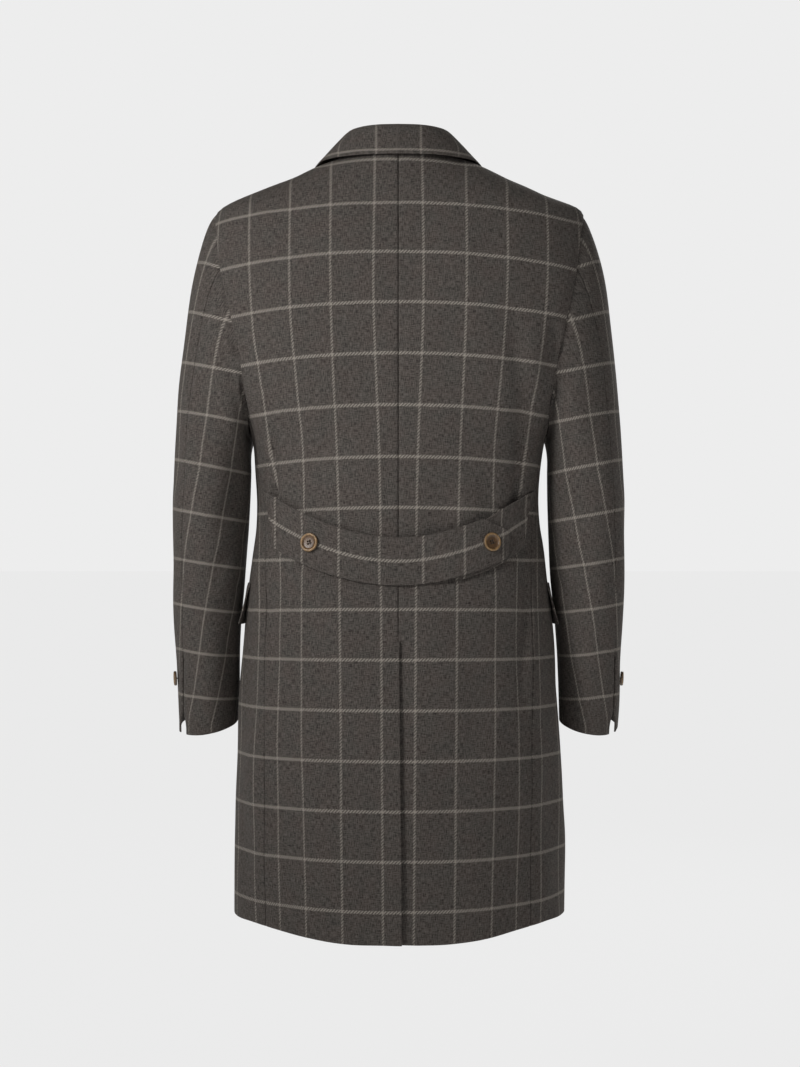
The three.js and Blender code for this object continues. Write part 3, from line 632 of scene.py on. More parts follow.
# The collar's middle surface: at each station the cloth goes up from the seam, over a narrow fold and
# down to the outer edge, with a slight swell in the fall.
def collarPiece(name, look):
    stations = 8 - spread(16.0 * 20, 150)[0][::-1] / 20
    size = np.abs(stations)
    side = np.where(stations < 0, -1.0, 1.0)

    def at(part):
        place = [through(collarLine, part + axis, size) for axis in "XYZ"]
        return np.stack([side * place[0], place[1], place[2]], axis=-1)

    seamPoint, fold, edge = at("seam"), at("fold"), at("edge")
    seamPoint = seamPoint - np.array([0, 0, collarShape["tuck"]])
    down, inner = unit(edge - fold), unit(seamPoint - fold)
    across = unit(down - inner)
    turn = collarShape["turn"] * (0.6 + 0.4 * np.sum(down * inner, axis=-1, keepdims=True))
    drop = np.minimum(collarShape["drop"], np.linalg.norm(seamPoint - fold, axis=-1, keepdims=True) * 0.4)
    inside = fold + inner * drop - across * turn
    outside = fold + down * collarShape["drop"] + across * turn
    swell = across * collarShape["swell"]
    knots = [seamPoint, mix(seamPoint, inside, 0.5), inside, fold, outside,
             mix(outside, edge, 0.35) + swell, mix(outside, edge, 0.7) + swell * 0.7, edge]
    knots = np.stack(knots)
    count = len(knots)
    reach = np.linalg.norm(knots[1:] - knots[:-1], axis=-1).mean(axis=1)
    knotRuns = np.concatenate([[0], np.cumsum(reach)])
    runs = spread(knotRuns[-1], 44)[0]
    table = {"level": knotRuns}
    rows = np.empty((len(runs),) + knots.shape[1:])
    for axis in range(3):
        for column in range(knots.shape[1]):
            table["value"] = knots[:, column, axis]
            rows[:, column, axis] = through(table, "value", runs)
    toEdge = knotRuns[-1] - runs
    around = np.cumsum(np.concatenate([[0], np.linalg.norm(np.diff(rows[-1], axis=0), axis=-1)]))
    around = around - np.interp(0, stations, around)
    # Behind, the upright lines hang straight, so there the cloth distance comes from x. In front it
    # comes from the running length along the edge.
    behind = np.abs(stations) < 4.5
    straight = np.interp(rows[..., 0], rows[-1, behind, 0], around[behind])
    share = smooth(3.6, 2.2, size)[None, :]
    run = mix(np.broadcast_to(around, straight.shape), straight, share)
    acrossCloth = run - np.sign(around)[None, :] * collarShape["firstLine"]
    alongCloth = (toEdge - collarShape["lineAboveEdge"])[:, None]
    cloth = np.stack(np.broadcast_arrays(acrossCloth, alongCloth), axis=-1)
    ripple = 0.35 * np.sin(around / 19 + 1.1)[None, :] * smooth(40, 8, toEdge)[:, None]
    normals = gridNormals(rows)
    grid = rows + normals * (collarShape["thick"] / 2 + ripple)[..., None]
    return clothWall(name, grid, cloth, look, 1, collarShape["thick"])


# Sleeves
sleeveSections = {
    "level": [-740, -693, -641, -589, -537, -485, -434, -400],
    "inner": [212, 210.6, 208.3, 205.5, 200, 196.5, 194, 192.5],
    "outer": [288, 289.6, 291, 293.2, 295.2, 295.8, 294.4, 292],
    "mid": [-32, -26, -19, -13, -8, -4, 0, 2],
    "deep": [54, 56, 59, 62, 66, 69, 72, 75],
}
sleeve = {
    "cuff": -725.0, "top": -400.0, "slant": 12.0, "lean": 5.0, "twist": math.radians(-11), "notch": 7.0,
    "ventTop": -628.0, "hindLevel": -137.0, "foreLevel": -251.0, "tuck": 2.4, "under": 3.4,
    "headLong": 240.0, "lap": 1.1, "underlap": -0.6, "lapWide": 9.0,
    "notchWide": 12.0, "notchLevel": (-706, -728),
}


# The armhole as a closed line of points, evenly spread: down behind, under the arm and up in front.
def armholeLoop():
    down = np.linspace(shoulderTip, seamTop, 90)
    floorLevel, floorLength = armholeFloor(np.linspace(0, 1, 80)[1:-1])
    up = down[::-1]
    levels = np.concatenate([down, floorLevel, up[:-1]])
    lengths = np.concatenate([seamLength(down, "behind"), floorLength, seamLength(up, "before")[:-1]])
    points = body(levels, lengths)
    closed = np.concatenate([points, points[:1]])
    runs = np.concatenate([[0], np.cumsum(np.linalg.norm(np.diff(closed, axis=0), axis=-1))])
    turns = 2 * math.pi * runs / runs[-1]
    hind = np.interp(-sleeve["hindLevel"], -down, turns[:90])
    fore = np.interp(sleeve["foreLevel"], up, turns[90 + 78:90 + 78 + 90])
    return closed, turns, hind, fore


loopPoints, loopTurns, hindTurn, foreTurn = armholeLoop()


# A ring of the sleeve is an ellipse: x = middle + half width * cos(a), y = middle + half depth * sin(a).
def sleeveRing(level, turn):
    inner, outer, mid, deep = (through(sleeveSections, c, level) for c in ("inner", "outer", "mid", "deep"))
    angle = turn + sleeve["twist"] * smooth(-480, -700, level)
    slant = sleeve["slant"] * np.sin(angle) + sleeve["lean"] * np.cos(angle)
    x = (inner + outer) / 2 + (outer - inner) / 2 * np.cos(angle)
    slanted = level - slant * smooth(-640, sleeve["cuff"], level)
    return np.stack([x, mid + deep * np.sin(angle), slanted], axis=-1)


# The sleeve head leaves the armhole outwards and bends down to the upper arm, as a cubic with these slopes.
def sleeveHead(share, turn):
    wrapped = np.mod(turn, 2 * math.pi)
    start = np.stack([np.interp(wrapped, loopTurns, loopPoints[:, axis]) for axis in range(3)], axis=-1)
    c, s = np.cos(turn), np.sin(turn)
    leave = np.stack([60 + 42 * c, 14 * s, -62 - 25 * c], axis=-1)
    inward = np.stack([sleeve["under"] * np.abs(s), 0 * s, 0 * s], axis=-1)
    start = start - unit(leave) * sleeve["tuck"] - inward
    end = sleeveRing(np.full_like(turn, sleeve["top"]), turn)
    arrive = unit(np.array([0.04, 0, -1.0])) * np.linalg.norm(start - end, axis=-1, keepdims=True) * 0.95
    t = share[..., None]
    return (start * (2 * t ** 3 - 3 * t ** 2 + 1) + leave * (t ** 3 - 2 * t ** 2 + t)
            + end * (3 * t ** 2 - 2 * t ** 3) + arrive * (t ** 3 - t ** 2))


# Folds on a sleeve, between places given as degrees round from its outer side, towards the back, and level.
sleeveFolds = [
    dict(start=(112, -205), stop=(128, -300), wide=10, deep=-2.6),
    dict(start=(96, -252), stop=(146, -352), wide=11, deep=-2.2),
    dict(start=(64, -300), stop=(96, -420), wide=16, deep=-1.6),
    dict(start=(150, -380), stop=(112, -470), wide=12, deep=-1.8),
    dict(start=(158, -470), stop=(104, -530), wide=11, deep=-1.9),
    dict(start=(160, -540), stop=(112, -572), wide=10, deep=-1.4),
    dict(start=(70, -560), stop=(92, -690), wide=15, deep=-1.2),
    dict(start=(212, -250), stop=(236, -350), wide=12, deep=-2.2),
    dict(start=(262, -240), stop=(236, -330), wide=12, deep=-2.0),
    dict(start=(208, -452), stop=(262, -500), wide=12, deep=-2.2),
    dict(start=(206, -500), stop=(258, -524), wide=10, deep=-1.6),
    dict(start=(-30, -180), stop=(-36, -300), wide=18, deep=-1.3),
    dict(start=(30, -330), stop=(40, -460), wide=18, deep=-1.0),
    dict(start=(290, -560), stop=(276, -690), wide=14, deep=-1.2),
]
sleeveSpan = 62.0  # mm of cloth for each radian round a sleeve
degreeSpan = sleeveSpan / 57.3  # and for each degree
# Distance from the hind seam to the first upright line, and the sleeve's level lines on its outer side.
sleeveUpright = {"level": [-725, -690, -638, -570, -512, -456, -395, -330, -254, -150],
                 "run": [-38, -25, -12, -3, 5, 17, 28.5, 33, 32, 30]}
sleeveLines = {"level": [-684, -506.7, -316.7, -120], "count": [0, 3, 6, 9]}
sleeveSag = {"level": [-700, -600, -450, -300], "sag": [7, 12, 18, 21]}
# Near the armhole the level lines drop further, by off + lean * (reach - x).
sleeveDrop = {"level": [-330, -290, -240, -185, -107], "off": [0, 3, 4.5, 3.3, 0],
              "lean": [0, 0.02, 0.09, 0.18, 0.3], "reach": 272.0}
# Hollows where the sleeve turns in under the armhole seam: distance from the seam, level and size.
sleevePits = [
    dict(off=9, level=-244, wide=10, tall=9, deep=-4.5),
    dict(off=6, level=-298, wide=7, tall=17, deep=-6.0),
    dict(off=8, level=-345, wide=10, tall=22, deep=-4.0),
]


# One half of a sleeve, from one turn round to another. Its rows go up from the cuff to the armhole.
def sleevePiece(name, side, start, stop, look):
    lower = spread(sleeve["top"] - sleeve["cuff"], 66)[0][:-len(edgeSteps)]
    upper = 1 - spread(sleeve["headLong"], 56)[0][len(edgeSteps):] / sleeve["headLong"]
    wide = abs(stop - start) * sleeveSpan
    turn = mix(start, stop, spread(wide, int(wide / 4.4))[0] / wide)[None, :]
    level = (sleeve["cuff"] + lower)[:, None]
    ring = sleeveRing(level + 0 * turn, turn + 0 * level)
    head = sleeveHead(upper[:, None] + 0 * turn, turn + 0 * upper[:, None])
    grid = np.concatenate([ring, head])
    turns = np.broadcast_to(turn, grid.shape[:2])
    normals = gridNormals(grid)
    along = np.empty_like(grid)
    along[:, 1:-1] = grid[:, 2:] - grid[:, :-2]
    along[:, 0], along[:, -1] = grid[:, 1] - grid[:, 0], grid[:, -1] - grid[:, -2]
    along = unit(along)
    height = grid[..., 2]
    steps = np.linalg.norm(np.diff(grid, axis=1), axis=-1)
    runs = np.concatenate([np.zeros((len(grid), 1)), np.cumsum(steps, axis=1)], axis=1)
    toSeam = np.minimum(runs, runs[:, -1:] - runs)
    rowRuns = np.cumsum(np.linalg.norm(np.diff(grid, axis=0), axis=-1), axis=0)
    toArmhole = np.concatenate([rowRuns[-1:], rowRuns[-1:] - rowRuns])
    away = smooth(0, 30, toArmhole)
    degrees = np.degrees(turns)
    out = 0.9 * unevenness(turns * sleeveSpan * side + 300, height) * away
    for fold in sleeveFolds:
        own = dict(fold, start=(fold["start"][0] * degreeSpan, fold["start"][1]),
                   stop=(fold["stop"][0] * degreeSpan, fold["stop"][1]))
        for whole in (0, 360):
            out = out + trough((degrees + whole) * degreeSpan, height, own) * away
    out = out + seamDip(toSeam)
    for pit in sleevePits:
        off = (toArmhole - pit["off"]) / pit["wide"]
        up = (height - pit["level"]) / pit["tall"]
        near = np.exp(-off ** 2 - up ** 2)
        out = out + pit["deep"] * near * smooth(0, 0.3, np.sin(turns))
    atTip = np.exp(-(np.sin(turns / 2) / 0.24) ** 2)
    out = out + seamDip(toArmhole, 0.9 * (1 - atTip))
    hindStart = abs(start - hindTurn) < 1e-6 or abs(start - hindTurn - 2 * math.pi) < 1e-6
    fromHind = runs if hindStart else runs[:, -1:] - runs
    ventOpen = smooth(sleeve["ventTop"], sleeve["ventTop"] - 12, height)
    lap = sleeve["lap"] if hindStart else sleeve["underlap"]
    out = out + lap * ventOpen * np.exp(-(fromHind / sleeve["lapWide"]) ** 2)
    notch = sleeve["notch"] * smooth(*sleeve["notchLevel"], height) + 0.25 * ventOpen
    shift = np.exp(-(fromHind / sleeve["notchWide"]) ** 2) * notch * (1 if hindStart else -1)
    edges = np.exp(-(runs / 6) ** 2) - np.exp(-((runs[:, -1:] - runs) / 6) ** 2)
    grid = grid + normals * out[..., None] + along * (shift + halfSeam * edges)[..., None]
    fromSeam = (turns - hindTurn) * sleeveSpan
    fromSeam = np.where(turns - hindTurn > math.pi, fromSeam - 2 * math.pi * sleeveSpan, fromSeam)
    upright = np.interp(height, sleeveUpright["level"], sleeveUpright["run"])
    share = (1 - np.cos(turns)) / 2
    sag = np.interp(height, sleeveSag["level"], sleeveSag["sag"])
    off = np.interp(height, sleeveDrop["level"], sleeveDrop["off"])
    lean = np.interp(height, sleeveDrop["level"], sleeveDrop["lean"])
    at = height + sag * share + off + lean * (sleeveDrop["reach"] - grid[..., 0])
    knots, counts = sleeveLines["level"], sleeveLines["count"]
    beyond = np.minimum(at - knots[0], 0) + np.maximum(at - knots[-1], 0)
    count = np.interp(at, knots, counts) + beyond / pane["along"]
    cloth = np.stack([-side * (fromSeam - upright), count * pane["along"]], axis=-1)
    weave = np.stack([side * turns * sleeveSpan, height], axis=-1)
    return clothWall(name, grid, cloth, look, side, weave=weave)


# Half belt
beltUprights = [-160, -129, -81.3, -30.6, 23.8, 74.4, 120.6, 154.4]


# The belt hangs in a curve: level = middle + sag * x^2, and lies on the back with a slightly swollen face.
def beltPiece(name, isLong, look):
    across = (spread(belt["width"], 15)[0] / (belt["width"] / 2) - 1)[:, None]
    if isLong:
        corner = 0.93
        first = np.where(np.abs(across) < corner, np.interp(across, beltEnd["level"], beltEnd["tip"]),
                         np.interp(np.sign(across) * corner, beltEnd["level"], beltEnd["tip"])
                         + 45 * (np.abs(across) - corner))
        last = np.interp(across, beltEnd["level"], beltEnd["seam"])
    else:
        corner = smooth(0.62, 1.0, np.abs(across))
        first = -np.interp(across, beltEnd["level"], beltEnd["seam"])
        last = np.full_like(across, belt["shortEnd"]) - 2 * corner
    tip = lengthAt(belt["middle"], first, "behind")
    sewn = lengthAt(belt["middle"], last, "behind")
    run = spread((sewn - tip)[:, 0], 72 if isLong else 26) + tip
    x = body(np.full_like(run, belt["middle"]), run)[..., 0]
    slope = np.arctan(2 * belt["sag"] * x)
    off = across * belt["width"] / 2
    drop = 0 if isLong else belt["drop"] * smooth(-150, -110, x)
    level = belt["middle"] + belt["sag"] * x * x + off * np.cos(slope) - drop
    length = run - off * np.sin(slope)
    out = np.full_like(run, wall + lieGap)
    if isLong:
        out = out + (wall + 2 * lieGap) * (1 - smooth(-64, -36, x))
    swell = 0.9 * (1 - across ** 2) + 0.35 * np.sin(x / 23 + 1.7 * across)
    toEdge = belt["width"] / 2 * (1 - np.abs(across))
    stitched = -0.35 * np.exp(-((toEdge - 6) / 1.1) ** 2)
    stitched = stitched + 0.9 * smooth(-0.2, -1, across) + 1.3 * smooth(0.3, 1, across)
    atSeam = seamDip(belt["seamOut"] - np.abs(x)) * (np.abs(x) > 120)
    out = out + (swell if isLong else 0.3 * swell) + stitched + atSeam
    grid = lift(level, length, out)
    where = body(level, length)[..., 0]
    panes = np.interp(where, beltUprights, np.arange(len(beltUprights)))
    beyond = np.maximum(where - beltUprights[-1], 0) + np.minimum(where - beltUprights[0], 0)
    cloth = np.stack(np.broadcast_arrays(panes * pane["across"] + beyond, off), axis=-1)
    return clothWall(name, grid, cloth, look)


# Pocket flaps
flap = {"top": -540.0, "foot": -594.0, "back": 34.0, "front": 108.0, "kick": 9.0}


# A flap lies on the side and the front, and its back lower corner stands away by kick * u^1.6 * v.
def flapPiece(name, side, look):
    level = (flap["foot"] + spread(flap["top"] - flap["foot"], 14)[0])[:, None]
    down = (flap["top"] - level) / (flap["top"] - flap["foot"])
    ridge = ridgeLength(level)
    total = flap["back"] + flap["front"]
    share = (spread(total, 34)[0] / total)[None, :]
    length = mix(ridge - flap["back"], ridge + flap["front"], share)
    kick = flap["kick"] * np.maximum(0, 1 - share * 4) ** 1.6 * down
    level = level + 0 * share
    out = wall + lieGap + kick + drape(level, length, side) * 0.6 - 1.0 * smooth(0.12, 0, down)
    grid = lift(level, length, np.maximum(out, wall + lieGap * 0.5))
    cloth = np.stack([side * clothAcrossAt(level, length), clothHeight(body(level, length))], axis=-1)
    return clothWall(name, grid, cloth, look, side)


# Buttons: sew-through, with a raised rim, a dished middle and four holes
buttonShape = {"holeRadius": 1.05, "holeSoft": 0.18, "holeOut": 2.1, "holeDeep": 1.5,
               "turns": 72, "thread": 0.42}
# Radius and height from the back's centre over the rim to the face's centre, as shares of the button's.
buttonProfile = {
    "level": [0, 1, 2, 3, 4, 5, 6, 7, 8, 9],
    "radius": [0, 0.84, 0.97, 1, 0.96, 0.87, 0.76, 0.66, 0.5, 0],
    "height": [0, 0, 0.12, 0.48, 0.86, 1, 0.92, 0.66, 0.54, 0.5],
}


def frameOf(facing):
    facing = unit(np.array(facing))
    side = unit(np.cross(facing, [0.31, 0.12, 0.94]))
    return side, np.cross(facing, side), facing


# A button is its profile turned about its axis: x = r * cos(a), y = r * sin(a), with r and the height
# from the profile, and the height sinks by holeDeep inside each of four round holes.
def buttonPiece(name, centre, facing, radius, thick, look):
    stations = np.concatenate([np.linspace(0.0, 7.2, 40), np.linspace(7.2, 9, 40)[1:]])
    ring = np.clip(through(buttonProfile, "radius", stations), 0, None)[:, None] * radius
    height = through(buttonProfile, "height", stations)[:, None] * thick
    turn = np.linspace(0, 2 * math.pi, buttonShape["turns"], endpoint=False)[None, :]
    x, y = ring * np.cos(turn), ring * np.sin(turn)
    out = buttonShape["holeOut"] / math.sqrt(2)
    off = np.hypot(np.abs(x) - out, np.abs(y) - out)
    rim, soft = buttonShape["holeRadius"], buttonShape["holeSoft"]
    shadedHole = smooth(rim + soft, rim - soft, off) * (stations > 6)[:, None]
    height = height - buttonShape["holeDeep"] * shadedHole
    u, v, w = frameOf(facing)
    points = centre + x[..., None] * u + y[..., None] * v + height[..., None] * w
    rows, cols = x.shape
    index = np.arange(rows * cols).reshape(rows, cols)
    wrapped = np.concatenate([index, index[:, :1]], axis=1)
    faces = gridFaces(wrapped)[:, ::-1]
    # The second place marks the holes, where the horn's look paints shade.
    marks = np.stack([ring + 0 * turn, 20 * shadedHole + 0 * x], axis=-1)
    made = meshObject(name, points.reshape(-1, 3), faces, {clothMap: marks.reshape(-1, 2)}, look)
    work = bmesh.new()
    work.from_mesh(made.data)
    bmesh.ops.remove_doubles(work, verts=work.verts, dist=1e-6)
    bmesh.ops.recalc_face_normals(work, faces=work.faces)
    work.to_mesh(made.data)
    work.free()
    return made


# A round tube along a path: centre line + r * (cos(a) * side + sin(a) * up).
def tube(path, radius, sides=8):
    path = np.asarray(path, float)
    ahead = unit(np.gradient(path, axis=0))
    side = unit(np.cross(ahead, np.array([0.21, 0.33, 0.92])))
    up = np.cross(side, ahead)
    turn = np.linspace(0, 2 * math.pi, sides, endpoint=False)
    taper = np.ones(len(path))
    taper[0] = taper[-1] = 0.35
    ring = np.cos(turn)[None, :, None] * side[:, None] + np.sin(turn)[None, :, None] * up[:, None]
    points = path[:, None] + ring * (radius * taper)[:, None, None]
    index = np.arange(len(path) * sides).reshape(len(path), sides)
    wrapped = np.concatenate([index, index[:, :1]], axis=1)
    return points.reshape(-1, 3), gridFaces(wrapped)


# Many tubes as one piece, with flat ends closed by fans into one point each.
def tubes(name, paths, radius, look, sides=8):
    points, faces = [], []
    count = 0
    for path in paths:
        ring, quads = tube(path, radius, sides)
        ends = np.array([path[0], path[-1]], float)
        base = count
        points += [ring, ends]
        faces.append(quads + base)
        first = np.arange(sides) + base
        last = first + len(ring) - sides
        near, far = base + len(ring), base + len(ring) + 1
        near, far = np.full(sides, near), np.full(sides, far)
        faces.append(np.stack([np.roll(first, -1), first, near, near], axis=-1))
        faces.append(np.stack([last, np.roll(last, -1), far, far], axis=-1))
        count += len(ring) + 2
    corners = np.concatenate(faces)
    mesh = bpy.data.meshes.new(name)
    mesh.from_pydata((np.concatenate(points) * millimetre).tolist(), [],
                     [list(dict.fromkeys(face)) for face in corners.tolist()])
    mesh.polygons.foreach_set("use_smooth", np.ones(len(mesh.polygons), dtype=bool))
    made = bpy.data.objects.new(name, mesh)
    bpy.context.scene.collection.objects.link(made)
    mesh.materials.append(look)
    return made


# Two bars of thread through the four holes, and the shank below them.
def threadPaths(centre, facing, thick, lifted):
    u, v, w = frameOf(facing)
    out = buttonShape["holeOut"] / math.sqrt(2)
    paths = []
    t = np.linspace(-1, 1, 13)[:, None]
    for row in (-1, 1):
        for strand in (-0.32, 0.32):
            height = thick * 0.5 + 0.55 - 1.3 * np.abs(t) ** 4
            paths.append(centre + u * (out * 1.02 * t) + v * (row * out + strand) + w * height)
    down = np.linspace(0.6, -lifted - 0.4, 6)[:, None]
    for a in (-0.5, 0.5):
        for b in (-0.5, 0.5):
            paths.append(centre + u * a + v * b + w * down)
    return paths


# A worked buttonhole: short stitches side by side above and below a slit, and a bar at each end.
buttonhole = {"from": -17.0, "to": 5.0, "gap": 0.35, "wide": 1.9, "pitch": 0.62, "thread": 0.27, "bars": 4}


def holeStitches(level):
    centre = float(girth(np.array([level]))[0])
    runs = np.arange(buttonhole["from"], buttonhole["to"], buttonhole["pitch"])
    ends = [(run, side * buttonhole["gap"], side * buttonhole["wide"]) for run in runs for side in (-1, 1)]
    steps = (np.arange(buttonhole["bars"]) - buttonhole["bars"]) * buttonhole["pitch"]
    bars = np.concatenate([buttonhole["from"] + steps, buttonhole["to"] - steps - buttonhole["pitch"]])
    ends = ends + [(run, -buttonhole["wide"], buttonhole["wide"]) for run in bars]
    paths = []
    for run, low, high in ends:
        rise = np.linspace(0, 1, 5)
        levels = level + mix(low, high, rise)
        lengths = np.full(5, centre + run)
        settled = smooth(0, 40, frontEdge(levels) - lengths)
        out = drape(levels, lengths, 1) * settled + 0.5 * np.sin(math.pi * rise) - 0.12
        paths.append(lift(levels, lengths, out))
    return paths


# Materials
def toLinear(code):
    parts = [int(code[i:i + 2], 16) / 255 for i in (0, 2, 4)]
    return [p / 12.92 if p <= 0.04045 else ((p + 0.055) / 1.055) ** 2.4 for p in parts] + [1.0]


# Adds a node. Its inputs go by name or place, and each is a value, a socket or a node's first output.
def addNode(tree, kind, inputs=(), **settings):
    node = tree.nodes.new("ShaderNode" + kind)
    for key, value in settings.items():
        setattr(node, key, value)
    for key, value in (inputs.items() if isinstance(inputs, dict) else enumerate(inputs)):
        if isinstance(value, bpy.types.Node):
            value = value.outputs[0]
        if isinstance(value, bpy.types.NodeSocket):
            tree.links.new(value, node.inputs[key])
        else:
            node.inputs[key].default_value = value
    return node


def newLook(name):
    look = bpy.data.materials.new(name)
    look.use_nodes = True
    look.node_tree.nodes.clear()
    return look, look.node_tree


# Sizes on the cloth in mm. The yarn and the twill are drawn coarser than the real 0.8 mm so that they show.
woolSettings = {
    "dark": "201d1b", "light": "66605b", "warm": "50443f", "cool": "44433f", "line": "968f86",
    "uprightWide": 2.9, "levelWide": 3.9, "lineSoft": 0.6, "stray": 1.6, "hatch": 4.2, "tint": 0.2,
    "rough": 0.92, "sheen": 0.09, "sheenRough": 0.45, "sheenTint": "b9b2a8",
    "bump": 0.00024, "bumpShare": 0.5,
}
# Each noise: its size across and along the cloth, its share of the grain's tone and of its relief.
woolNoises = {
    "warp": dict(across=0.95, along=7.0, tone=0.41, relief=0.6),
    "weft": dict(across=7.0, along=0.95, tone=0.37, relief=0.6),
    "fibre": dict(across=0.8, along=0.8, tone=0.16, relief=0.5),
    "heather": dict(across=3.4, along=3.4, tone=0.06, relief=0.0),
    "patch": dict(across=26.0, along=26.0, tone=0.0, relief=0.0),
}


# Milled wool twill, woven with a pale windowpane check: threads both ways in mixed dark and light fibres
# give a soft heathered grey-brown, the nap gives a dull sheen, and the twill breaks the pale lines into
# slanting hatches.
def milledWoolTwill():
    look, tree = newLook("milledWoolTwillWoven")
    w = woolSettings
    clothUv = addNode(tree, "UVMap", uv_map=clothMap)
    weaveUv = addNode(tree, "UVMap", uv_map=weaveMap)
    cloth = addNode(tree, "VectorMath", {0: clothUv, "Scale": 1000.0}, operation="SCALE")
    weave = addNode(tree, "VectorMath", {0: weaveUv, "Scale": 1000.0}, operation="SCALE")

    tone, relief, noises = 0.0, 0.0, {}
    for name, noise in woolNoises.items():
        scales = (1 / noise["across"], 1 / noise["along"], 1.0)
        stretched = addNode(tree, "VectorMath", [weave, scales], operation="MULTIPLY")
        inputs = {"Vector": stretched, "Scale": 1.0, "Detail": 1.0}
        noises[name] = addNode(tree, "TexNoise", inputs, noise_dimensions="2D")
        if noise["tone"]:
            tone = addNode(tree, "Math", [noises[name], noise["tone"], tone], operation="MULTIPLY_ADD")
        if noise["relief"]:
            relief = addNode(tree, "Math", [noises[name], noise["relief"], relief], operation="MULTIPLY_ADD")
    light = addNode(tree, "MapRange", [tone, 0.34, 0.66, 0, 1])
    warm = addNode(tree, "MapRange", [noises["patch"], 0.3, 0.7, 0, 1])
    ground = addNode(tree, "Mix", {0: light, 6: toLinear(w["dark"]), 7: toLinear(w["light"])}, data_type="RGBA")
    tint = addNode(tree, "Mix", {0: warm, 6: toLinear(w["cool"]), 7: toLinear(w["warm"])}, data_type="RGBA")
    tinted = {0: w["tint"], 6: ground.outputs[2], 7: tint.outputs[2]}
    ground = addNode(tree, "Mix", tinted, data_type="RGBA")

    # The twill's hatch runs aslant, and the pale lines waver by a little.
    parts = addNode(tree, "SeparateXYZ", [cloth])
    across, along = parts.outputs[0], parts.outputs[1]
    slant = addNode(tree, "Math", [across, along], operation="ADD")
    hatch = addNode(tree, "Math", [slant, w["hatch"] / 2], operation="PINGPONG")
    hatch = addNode(tree, "MapRange", [hatch, 0.12 * w["hatch"], 0.38 * w["hatch"], 0.14, 1.0])
    stray = addNode(tree, "Math", [noises["heather"], w["stray"], -w["stray"] / 2], operation="MULTIPLY_ADD")
    lineParts = []
    ways = ((across, pane["across"], w["uprightWide"]), (along, pane["along"], w["levelWide"]))
    for place, step, wide in ways:
        moved = addNode(tree, "Math", [place, stray], operation="ADD")
        off = addNode(tree, "Math", [moved, step / 2], operation="PINGPONG")
        near, far = wide / 2 - w["lineSoft"], wide / 2 + w["lineSoft"]
        lineParts.append(addNode(tree, "MapRange", [off, far, near, 0, 1]))
    upright, level = lineParts
    dimmed = addNode(tree, "Math", [upright, 0.8], operation="MULTIPLY")
    lines = addNode(tree, "Math", [dimmed, level], operation="MAXIMUM")
    crossing = addNode(tree, "Math", [upright, level], operation="MULTIPLY")
    solid = addNode(tree, "Math", [hatch, crossing], operation="MAXIMUM")
    worn = addNode(tree, "MapRange", [noises["fibre"], 0.35, 0.6, 0.65, 1.0])
    lines = addNode(tree, "Math", [lines, solid], operation="MULTIPLY")
    lines = addNode(tree, "Math", [lines, worn], operation="MULTIPLY")
    colours = {0: lines, 6: ground.outputs[2], 7: toLinear(w["line"])}
    colour = addNode(tree, "Mix", colours, data_type="RGBA")

    height = addNode(tree, "Math", [lines, 0.3, relief], operation="MULTIPLY_ADD")
    bump = addNode(tree, "Bump", {"Strength": w["bumpShare"], "Distance": w["bump"], "Height": height})
    shader = addNode(tree, "BsdfPrincipled", {
        "Base Color": colour.outputs[2], "Roughness": w["rough"], "IOR": 1.45, "Specular IOR Level": 0.25,
        "Sheen Weight": w["sheen"], "Sheen Roughness": w["sheenRough"], "Sheen Tint": toLinear(w["sheenTint"]),
        "Normal": bump})
    addNode(tree, "OutputMaterial", {"Surface": shader})
    return look


# The hole colour, near black, is painted shade for the inside of the four holes.
hornSettings = {
    "rim": "8a6c46", "edge": "4f3e2c", "face": "5c4329", "centre": "5a4026", "shadedHole": "0c0906",
    "rough": 0.42, "coat": 0.08, "coatRough": 0.25, "streakScale": 0.55, "bump": 0.0002, "bumpShare": 0.15,
}
# The colour at each share of the button's radius, between its centre and its edge.
hornStops = [(0.55, "centre"), (0.7, "face"), (0.8, "rim"), (0.93, "rim")]
